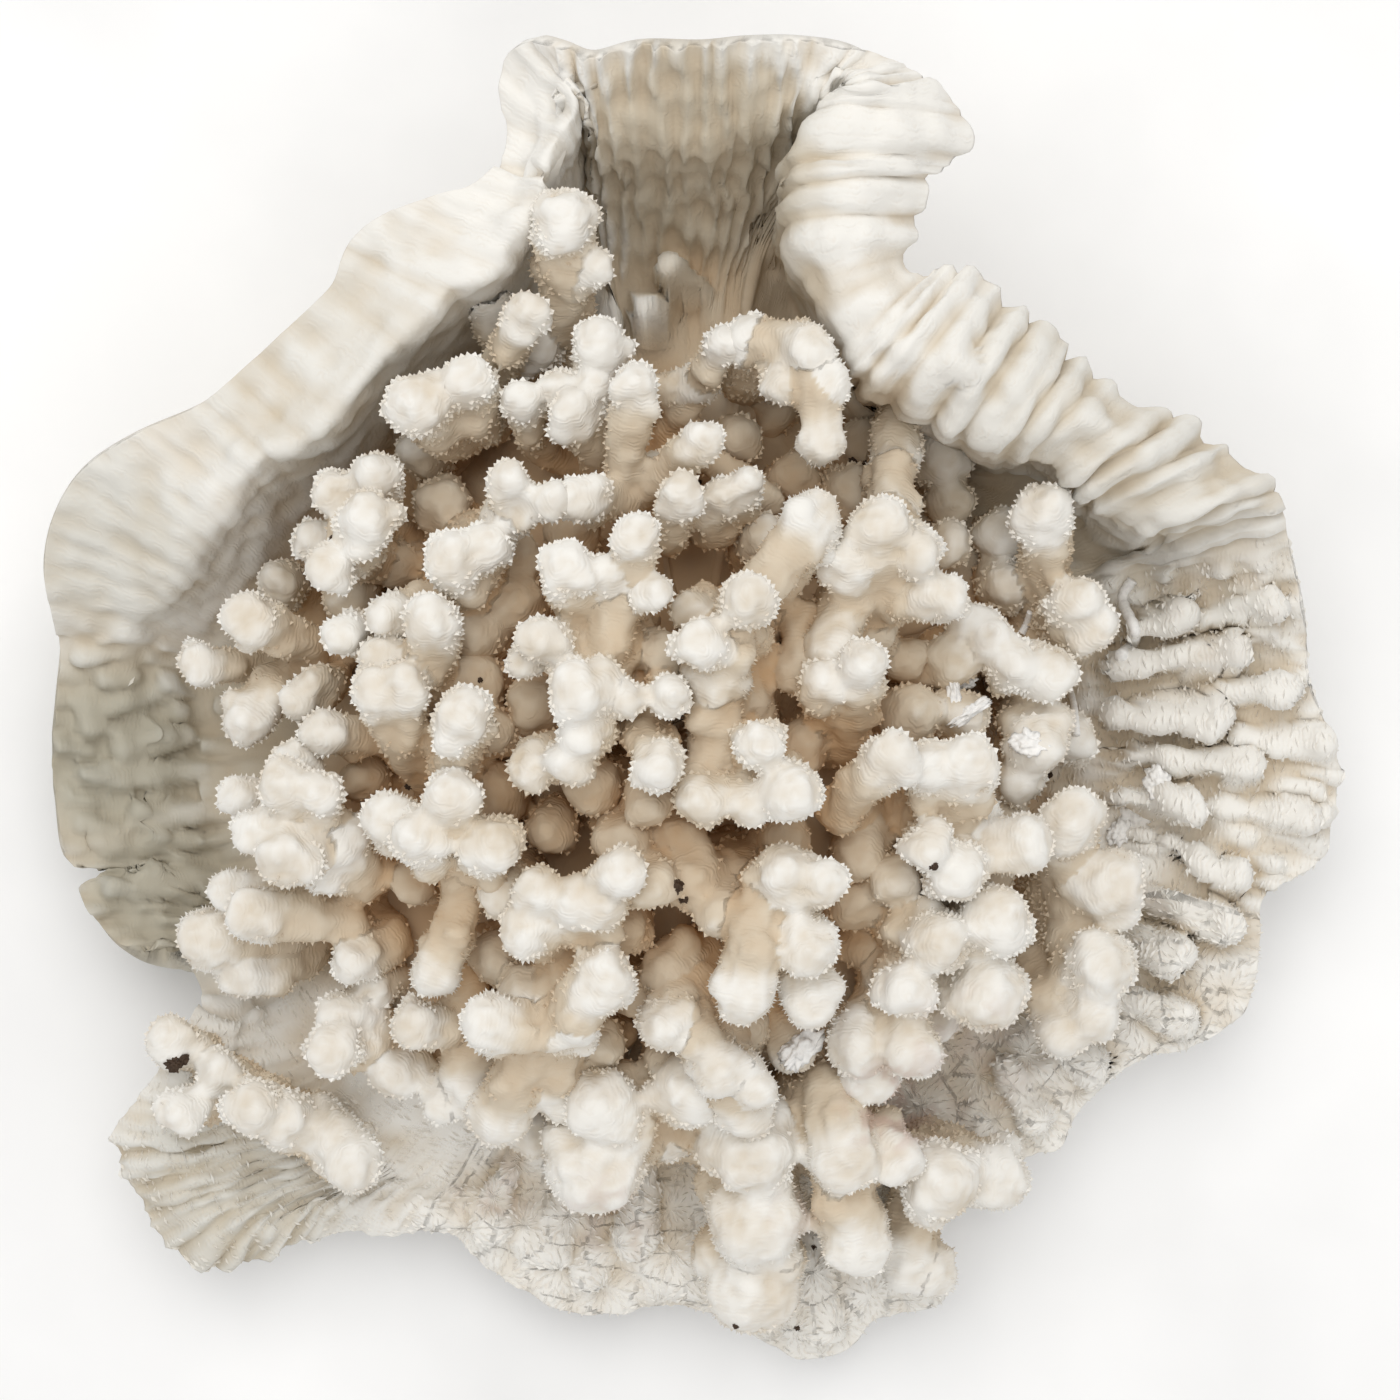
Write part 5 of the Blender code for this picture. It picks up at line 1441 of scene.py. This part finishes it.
def skeleton_material(name, settings, hatch_depth, hatch_groove_shade):
    """Bleached skeleton: white where it stands proud, ivory below and tan in the depths as painted shade,
    with fine septa whose grooves are painted darker as shade.
    """
    material, nodes, shader = new_finish(name, *SKELETON_GLOSS)
    shade_and_stain = shade_and_stain_colour(nodes, settings)
    weave = nodes.stored("weave", "Vector")
    along, across, streaks = nodes.add("ShaderNodeSeparateXYZ", {0: weave}).outputs[:3]
    septa = nodes.stored("septa", "Fac")
    fleck = nodes.noise(FLECK_SCALE, 1.0)
    sway = nodes.math("MULTIPLY", fleck, HATCH_SWAY)
    phase = nodes.math("MULTIPLY_ADD", along, 2 * math.pi / SEPTA_PITCH, sway)
    wave = nodes.math("MULTIPLY", nodes.math("SINE", phase), septa)
    streak_phase = nodes.math("MULTIPLY_ADD", across, 2 * math.pi / STREAK_PITCH, sway)
    streak = nodes.math("MULTIPLY", nodes.math("SINE", streak_phase), streaks)
    patch = nodes.math("MULTIPLY_ADD", fleck, *PATCHES, clamped=True)
    both = nodes.math("MULTIPLY", nodes.math("ADD", wave, streak), patch)
    # Painted shade in the septa's grooves, drawn towards the shade colour.
    groove = nodes.math("MULTIPLY", both, -hatch_groove_shade, clamped=True)
    groove_shade = nodes.math("MULTIPLY", groove, fleck)
    final = nodes.mix(groove_shade, shade_and_stain, rgba(settings.shade_colour))
    relief = nodes.math("MULTIPLY_ADD", both, HATCH_RELIEF, fleck)
    coat(nodes, shader, final, relief, HATCH_STRENGTH, hatch_depth)
    return material


def shade_and_stain_colour(nodes, settings):
    """The skeleton's colour by how deep its painted shade is, how much painted grey-green shade it has and
    how worn it is.
    """
    tone = nodes.stored("tone", "Color")
    depth, grey, worn = nodes.add("ShaderNodeSeparateColor", {0: tone}).outputs[:3]
    colours = (settings.tip_colour, settings.body_colour, settings.shade_colour, settings.deep_shade_colour)
    # Painted shade: the ramp darkens from the tip colour down to the deep shade colour.
    body = nodes.ramp(depth, list(zip(TONE_STOPS, map(rgba, colours))))
    # Painted cool grey-green shade over the ramp.
    greyed = nodes.mix(nodes.math("MULTIPLY", grey, GREY_SHARE), body, rgba(settings.grey_shade_colour))
    return nodes.mix(nodes.math("MULTIPLY", worn, WORN_SHARE), greyed, rgba(settings.worn_colour))


def blade_material(name, settings, whiter):
    """The standing septa: the skeleton's colour under them, its painted shade included, some way towards
    white.
    """
    material, nodes, shader = new_finish(name, *BLADE_GLOSS)
    coat(nodes, shader, nodes.mix(whiter, shade_and_stain_colour(nodes, settings), rgba(settings.tip_colour)))
    return material


def plain_material(name, colour, roughness, grain_scale, grain_depth):
    """A matt finish with an even fine grain, for the growths and the floor."""
    material, nodes, shader = new_finish(name, roughness, PLAIN_SHINE)
    fine = nodes.noise(grain_scale, PLAIN_DETAIL)
    darker = tuple(PLAIN_DARKER * part for part in colour[:3])
    low, high = PLAIN_STOPS
    shade = nodes.ramp(fine, ((low, rgba(darker)), (high, rgba(colour))))
    coat(nodes, shader, shade, fine, PLAIN_STRENGTH, grain_depth)
    return material


def septa_tree(material):
    """Stands a small pointed blade at each of many even places on a skin, square to the finger's run."""
    tree = bpy.data.node_groups.new("septa", "GeometryNodeTree")
    face = tree.interface
    face.new_socket("Skin", in_out="INPUT", socket_type="NodeSocketGeometry")
    for name in FINGER_BLADES:
        face.new_socket(name, in_out="INPUT", socket_type="NodeSocketFloat")
    face.new_socket("Seed", in_out="INPUT", socket_type="NodeSocketInt")
    face.new_socket("Septa", in_out="OUTPUT", socket_type="NodeSocketGeometry")
    nodes = Nodes(tree)
    given = nodes.add("NodeGroupInput").outputs
    weight = nodes.add("GeometryNodeInputNamedAttribute", {"Name": "blades"}, data_type="FLOAT")
    spread = nodes.add("GeometryNodeDistributePointsOnFaces", {
        "Mesh": given["Skin"],
        "Distance Min": given["Spacing"],
        "Density Max": given["Density"],
        "Density Factor": weight.outputs["Attribute"],
        "Seed": given["Seed"],
    }, distribute_method="POISSON")
    run = nodes.add("GeometryNodeInputNamedAttribute", {"Name": "ridge_axis"}, data_type="FLOAT_VECTOR")
    upright = nodes.add("FunctionNodeAlignRotationToVector", {"Vector": spread.outputs["Normal"]}, axis="Z")
    square = nodes.add("FunctionNodeAlignRotationToVector", {
        "Rotation": upright.outputs[0],
        "Vector": run.outputs["Attribute"],
    }, axis="Y", pivot_axis="Z")
    turn = nodes.uneven(-BLADE_TWIST, BLADE_TWIST, 11)
    twist = nodes.add("ShaderNodeCombineXYZ", {"Z": turn})
    twisted = nodes.add("FunctionNodeRotateRotation", {
        "Rotation": square.outputs[0],
        "Rotate By": twist.outputs[0],
    }, rotation_space="LOCAL")
    blade = nodes.add("GeometryNodeMeshCone", {
        "Vertices": 4,
        "Radius Top": 0.0,
        "Radius Bottom": 1.0,
        "Depth": 1.0,
    }, fill_type="NGON")
    size = nodes.add("ShaderNodeCombineXYZ", {
        "X": given["Length"],
        "Y": given["Thickness"],
        "Z": given["Height"],
    })
    vary = nodes.uneven(*BLADE_SIZES, 12)
    scaled = nodes.add("ShaderNodeVectorMath", {0: size.outputs[0], "Scale": vary}, operation="SCALE")
    stand = nodes.add("GeometryNodeInstanceOnPoints", {
        "Points": spread.outputs["Points"],
        "Instance": blade.outputs["Mesh"],
        "Rotation": twisted.outputs[0],
        "Scale": scaled.outputs[0],
    })
    real = nodes.add("GeometryNodeRealizeInstances", {"Geometry": stand.outputs[0]})
    coat = nodes.add("GeometryNodeSetMaterial", {"Geometry": real.outputs[0], "Material": material})
    nodes.add("NodeGroupOutput", {"Septa": coat.outputs[0]})
    return tree


def grow_septa(skin, tree, sizes, seed):
    """The blades of one skin, as a piece of their own."""
    name = skin.name.replace("_skin", "_septa")
    septa = object_of(name, skin.data.copy())
    grow = septa.modifiers.new("septa", "NODES")
    grow.node_group = tree
    wanted = dict(sizes, Seed=seed)
    for item in tree.interface.items_tree:
        if item.in_out == "INPUT" and item.name in wanted:
            grow[item.identifier] = wanted[item.name]
    bake(septa)
    keep_in_box(septa.data)
    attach(septa, "root")


def all_skins():
    """Every skin that is built, by name."""
    skins = [obj for obj in bpy.data.objects if obj.name.endswith("_skin")]
    if not skins:
        raise RuntimeError("this step needs the skins: build the plate and the fingers first")
    return sorted(skins, key=lambda obj: obj.name)


def seat(trees, right, back):
    """The first place on the skins that the sight line through a noted place meets, and its normal."""
    eye = Vector((0, 0, SIGHT_HEIGHT * MM))
    line = (Vector((right * MM, back * MM, 0)) - eye).normalized()
    hits = [tree.ray_cast(eye, line) for tree in trees]
    hits = [hit for hit in hits if hit[0] is not None]
    if not hits:
        raise RuntimeError(f"nothing lies under {right}, {back}")
    found = min(hits, key=lambda hit: hit[3])
    return found[0], found[1]


def make_worm_tube(name, bends, radius, trees, material):
    """A chalky tube that winds over the skin."""
    lift = Vector((0, 0, TUBE_LIFT * MM))
    points = np.array([seat(trees, *bend)[0] + lift for bend in bends])
    count = TUBE_POINTS * (len(points) - 1)
    length = len(points) - TUBE_END
    path = [spline(points, step * length / count, False) for step in range(count + 1)]
    curve = bpy.data.curves.new(name, "CURVE")
    curve.dimensions = "3D"
    curve.bevel_depth = radius * MM
    curve.bevel_resolution = TUBE_DETAIL
    curve.use_fill_caps = True
    line = curve.splines.new("POLY")
    line.points.add(len(path) - 1)
    for number, (point, spot) in enumerate(zip(line.points, path)):
        point.co = (*spot, 1.0)
        ripple = TUBE_RIPPLE[0] * math.sin(TUBE_RIPPLE[1] * number)
        point.radius = 1.0 + ripple + TUBE_FLARE * (number / count) ** 4
    bent = object_of(name, curve)
    graph = bpy.context.evaluated_depsgraph_get()
    mesh = bpy.data.meshes.new_from_object(bent.evaluated_get(graph))
    bpy.data.objects.remove(bent, do_unlink=True)
    finish_growth(name, mesh, material)


def finish_growth(name, mesh, material):
    """Welds a growth's mesh and makes it a piece of its own."""
    shape = bmesh.new()
    shape.from_mesh(mesh)
    bmesh.ops.remove_doubles(shape, verts=shape.verts, dist=WELD * MM)
    close_up(shape, mesh)
    dress(object_of(name, mesh), material)


def add_lump(shape, spot, normal, half_sizes, turn, rough, seed):
    """One rough flattened lump that sits on the skin."""
    ball = bmesh.ops.create_icosphere(shape, subdivisions=LUMP_DETAIL, radius=1.0)
    upright = normal.to_track_quat("Z", "Y").to_matrix().to_4x4()
    seen = Matrix.Rotation(math.radians(turn), 4, "Z")
    wide, deep, high = half_sizes
    for vert in ball["verts"]:
        swell = 1 + rough * noise.noise(vert.co * SWELL_RATE + Vector((seed, 0, 0)))
        pit = abs(noise.noise(vert.co * PIT_RATE + Vector((0, seed, 0))))
        vert.co = vert.co * (swell - rough * pit)
        vert.co = Vector((vert.co.x * wide, vert.co.y * deep, vert.co.z * high)) * MM
        vert.co = seen @ vert.co
        vert.co = upright @ vert.co + spot


def make_lumps(name, lumps, rough, trees, material):
    """Lumps of one kind as a single piece; each lump is right, back, three half sizes and a turn."""
    shape = bmesh.new()
    for number, (right, back, half_sizes, turn) in enumerate(lumps):
        spot, normal = seat(trees, right, back)
        lean = (normal + Vector((0, 0, UPRIGHT))).normalized()
        add_lump(shape, spot, lean, half_sizes, turn, rough, NOISE_STEP * number)
    mesh = bpy.data.meshes.new(name)
    shape.to_mesh(mesh)
    shape.free()
    finish_growth(name, mesh, material)


def length_property(name, description, default, least, most):
    """A length that the user may change, in metres."""
    return bpy.props.FloatProperty(
        name=name, description=description, default=default, min=least, max=most,
        subtype="DISTANCE", unit="LENGTH",
    )


def colour_property(name, description, default):
    """A colour that the user may change."""
    return bpy.props.FloatVectorProperty(
        name=name, description=description, default=default, min=0, max=1, size=3, subtype="COLOR",
    )


class CoralSettings(bpy.types.PropertyGroup):
    skin_grain: length_property("Skin grain", "Finest size kept in the fingers' skin", 0.00118, 0.0005, 0.004)
    septa_spacing: length_property(
        "Septa spacing", "Least distance between two standing blades", 0.00150, 0.0008, 0.01
    )
    septa_length: length_property("Septa length", "Half length of a standing blade", 0.00125, 0.0003, 0.005)
    septa_thickness: length_property(
        "Septa thickness", "Half thickness of a standing blade", 0.00028, 0.0001, 0.002
    )
    septa_height: length_property("Septa height", "How far a blade stands proud", 0.00070, 0.0001, 0.003)
    seed: bpy.props.IntProperty(name="Seed", description="Changes every scattered detail", default=7)
    # The tip, body, shade and deep shade colours lie along a ramp of painted shade, from the proud tips to
    # the depths.
    tip_colour: colour_property("Tips", "Bleached finger tips", (0.83, 0.81, 0.765))
    body_colour: colour_property("Body", "Skeleton just under the tips", (0.66, 0.575, 0.455))
    # Painted shade half way down the fingers.
    shade_colour: colour_property("Shade", "Skeleton half way down", (0.60, 0.475, 0.335))
    # Painted shade deep between the forks.
    deep_shade_colour: colour_property("Depths", "Skeleton deep between the forks", (0.60, 0.41, 0.24))
    # Painted cool grey-green shade.
    grey_shade_colour: colour_property("Grey", "Weathered grey-green places", (0.38, 0.37, 0.305))
    worn_colour: colour_property("Worn", "Worn pinkish brown places", (0.55, 0.40, 0.33))
    floor_colour: colour_property("Floor", "The studio floor", (0.96, 0.96, 0.96))
    light_power: bpy.props.FloatProperty(
        name="Light power", description="Power of the soft light overhead", default=9.0,
        min=0, max=500, unit="POWER",
    )


def finish(name):
    """A finish by name, made once from the settings."""
    settings = bpy.context.scene.coral
    found = bpy.data.materials.get(name)
    if found:
        return found
    if name in SKELETONS:
        return skeleton_material(name, settings, *SKELETONS[name])
    if name in BLADES:
        return blade_material(name, settings, BLADES[name])
    if name == "studio_floor":
        return plain_material(name, tuple(settings.floor_colour), *FLOOR_FINISH)
    return plain_material(name, *PLAIN[name])


class CORAL_OT_plate(bpy.types.Operator):
    """Build the skin of the plate, with its pleats, ridges, lumps and lobes"""

    bl_idname = "coral.plate"
    bl_label = "Plate"

    def execute(self, context):
        make_plate_skin(finish("ivory_skin"), context.scene.coral.seed)
        return {"FINISHED"}


class CORAL_OT_fingers(bpy.types.Operator):
    """Build the skin of every fork of the thicket"""

    bl_idname = "coral.fingers"
    bl_label = "Finger branches"

    def execute(self, context):
        directions = ball_directions()
        lower = undergrowth()
        plate = BVHTree.FromObject(bpy.data.objects["plate_skin"], context.evaluated_depsgraph_get())
        skin = finish("bleached_skin")
        for name, (root, stem_radius, fingers) in FORKS.items():
            every = (*fingers, *lower[name])
            make_fork_skin(name, root, stem_radius, every, context.scene.coral, directions, plate, skin)
        return {"FINISHED"}


class CORAL_OT_septa(bpy.types.Operator):
    """Stand the fine septa on every skin"""

    bl_idname = "coral.septa"
    bl_label = "Septa"

    def execute(self, context):
        settings = context.scene.coral
        trees = {
            "bleached_skin": septa_tree(finish("finger_septa")),
            "ivory_skin": septa_tree(finish("plate_septa")),
        }
        sizes = {
            "Spacing": settings.septa_spacing,
            "Length": settings.septa_length,
            "Thickness": settings.septa_thickness,
            "Height": settings.septa_height,
            "Density": BLADE_DENSITY,
        }
        finer = {name: sizes[name] * share for name, share in FINGER_BLADES.items()}
        for number, skin in enumerate(all_skins()):
            kind = skin.active_material.name
            size = finer if kind == "bleached_skin" else sizes
            grow_septa(skin, trees[kind], size, settings.seed + number)
        return {"FINISHED"}


class CORAL_OT_growths(bpy.types.Operator):
    """Seat the worm tubes, the white crusts and the caught specks on the skins"""

    bl_idname = "coral.growths"
    bl_label = "Growths"

    def execute(self, context):
        graph = context.evaluated_depsgraph_get()
        trees = [BVHTree.FromObject(skin, graph) for skin in all_skins()]
        chalk = finish("chalk")
        for number, (bends, radius) in enumerate(WORM_TUBES):
            make_worm_tube(f"worm_tube_{number + 1}", bends, radius, trees, chalk)
        crusts = [(right, back, (wide, deep, CRUST_HEIGHT), turn) for right, back, wide, deep, turn in CRUSTS]
        make_lumps("white_crusts", crusts, CRUST_PITS, trees, chalk)
        specks = [(right, back, (size, size, SPECK_FLATNESS * size), 0) for right, back, size in SPECKS]
        make_lumps("caught_specks", specks, SPECK_PITS, trees, finish("caught_bits"))
        return {"FINISHED"}


class CORAL_OT_studio(bpy.types.Operator):
    """Lay the pale floor, hang the soft lights and set the camera straight above"""

    bl_idname = "coral.studio"
    bl_label = "Studio"

    def execute(self, context):
        settings = context.scene.coral
        shape = bmesh.new()
        bmesh.ops.create_grid(shape, x_segments=2, y_segments=2, size=FLOOR_HALF)
        mesh = bpy.data.meshes.new("studio_floor")
        shape.to_mesh(mesh)
        shape.free()
        floor = object_of("studio_floor", mesh)
        mesh.materials.append(finish("studio_floor"))
        for name, (spot, size, share) in LIGHTS.items():
            add_soft_light(name, spot, size, share * settings.light_power)
        add_camera()
        light_the_room()
        return {"FINISHED"}


def add_soft_light(name, spot, size, power):
    """A square light that points at the coral."""
    light = bpy.data.lights.new(name, "AREA")
    light.shape = "SQUARE"
    light.size = size
    light.energy = power
    light.color = LIGHT_COLOUR
    obj = object_of(name, light)
    obj.location = spot
    towards = Vector(LIT_SPOT) - Vector(spot)
    obj.rotation_euler = towards.to_track_quat("-Z", "Y").to_euler()


def add_camera():
    """Straight above, so that the photo's width at the foot's level fills the frame."""
    camera = bpy.data.cameras.new("camera")
    camera.sensor_width = SENSOR_WIDTH
    camera.lens = camera.sensor_width * SIGHT_HEIGHT / PHOTO_WIDTH
    obj = object_of("camera", camera)
    obj.location = (0, 0, SIGHT_HEIGHT * MM)
    bpy.context.scene.camera = obj


def light_the_room():
    """Even white light from all round, and plain colours without a film look."""
    world = bpy.data.worlds.new("studio_room")
    world.use_nodes = True
    room = world.node_tree.nodes["Background"]
    room.inputs["Color"].default_value = (1.0, 1.0, 1.0, 1.0)
    room.inputs["Strength"].default_value = ROOM_BRIGHTNESS
    bpy.context.scene.world = world
    bpy.context.scene.view_settings.view_transform = "Standard"


class CORAL_PT_panel(bpy.types.Panel):
    """Sizes, colours and steps of the coral"""

    bl_label = "Plate coral"
    bl_idname = "CORAL_PT_panel"
    bl_space_type = "VIEW_3D"
    bl_region_type = "UI"
    bl_category = "Coral"

    def draw(self, context):
        column = self.layout.column(align=True)
        for step in STEPS:
            column.operator(step.bl_idname)
        sizes = self.layout.column()
        for name in CoralSettings.__annotations__:
            sizes.prop(context.scene.coral, name)


STEPS = (CORAL_OT_plate, CORAL_OT_fingers, CORAL_OT_septa, CORAL_OT_growths, CORAL_OT_studio)
CLASSES = (CoralSettings, *STEPS, CORAL_PT_panel)


def register():
    for cls in CLASSES:
        bpy.utils.register_class(cls)
    bpy.types.Scene.coral = bpy.props.PointerProperty(type=CoralSettings)


def unregister():
    del bpy.types.Scene.coral
    for cls in reversed(CLASSES):
        bpy.utils.unregister_class(cls)


def main():
    register()
    bpy.ops.coral.plate()
    bpy.ops.coral.fingers()
    bpy.ops.coral.septa()
    bpy.ops.coral.growths()
    bpy.ops.coral.studio()


if __name__ == "__main__":
    main()
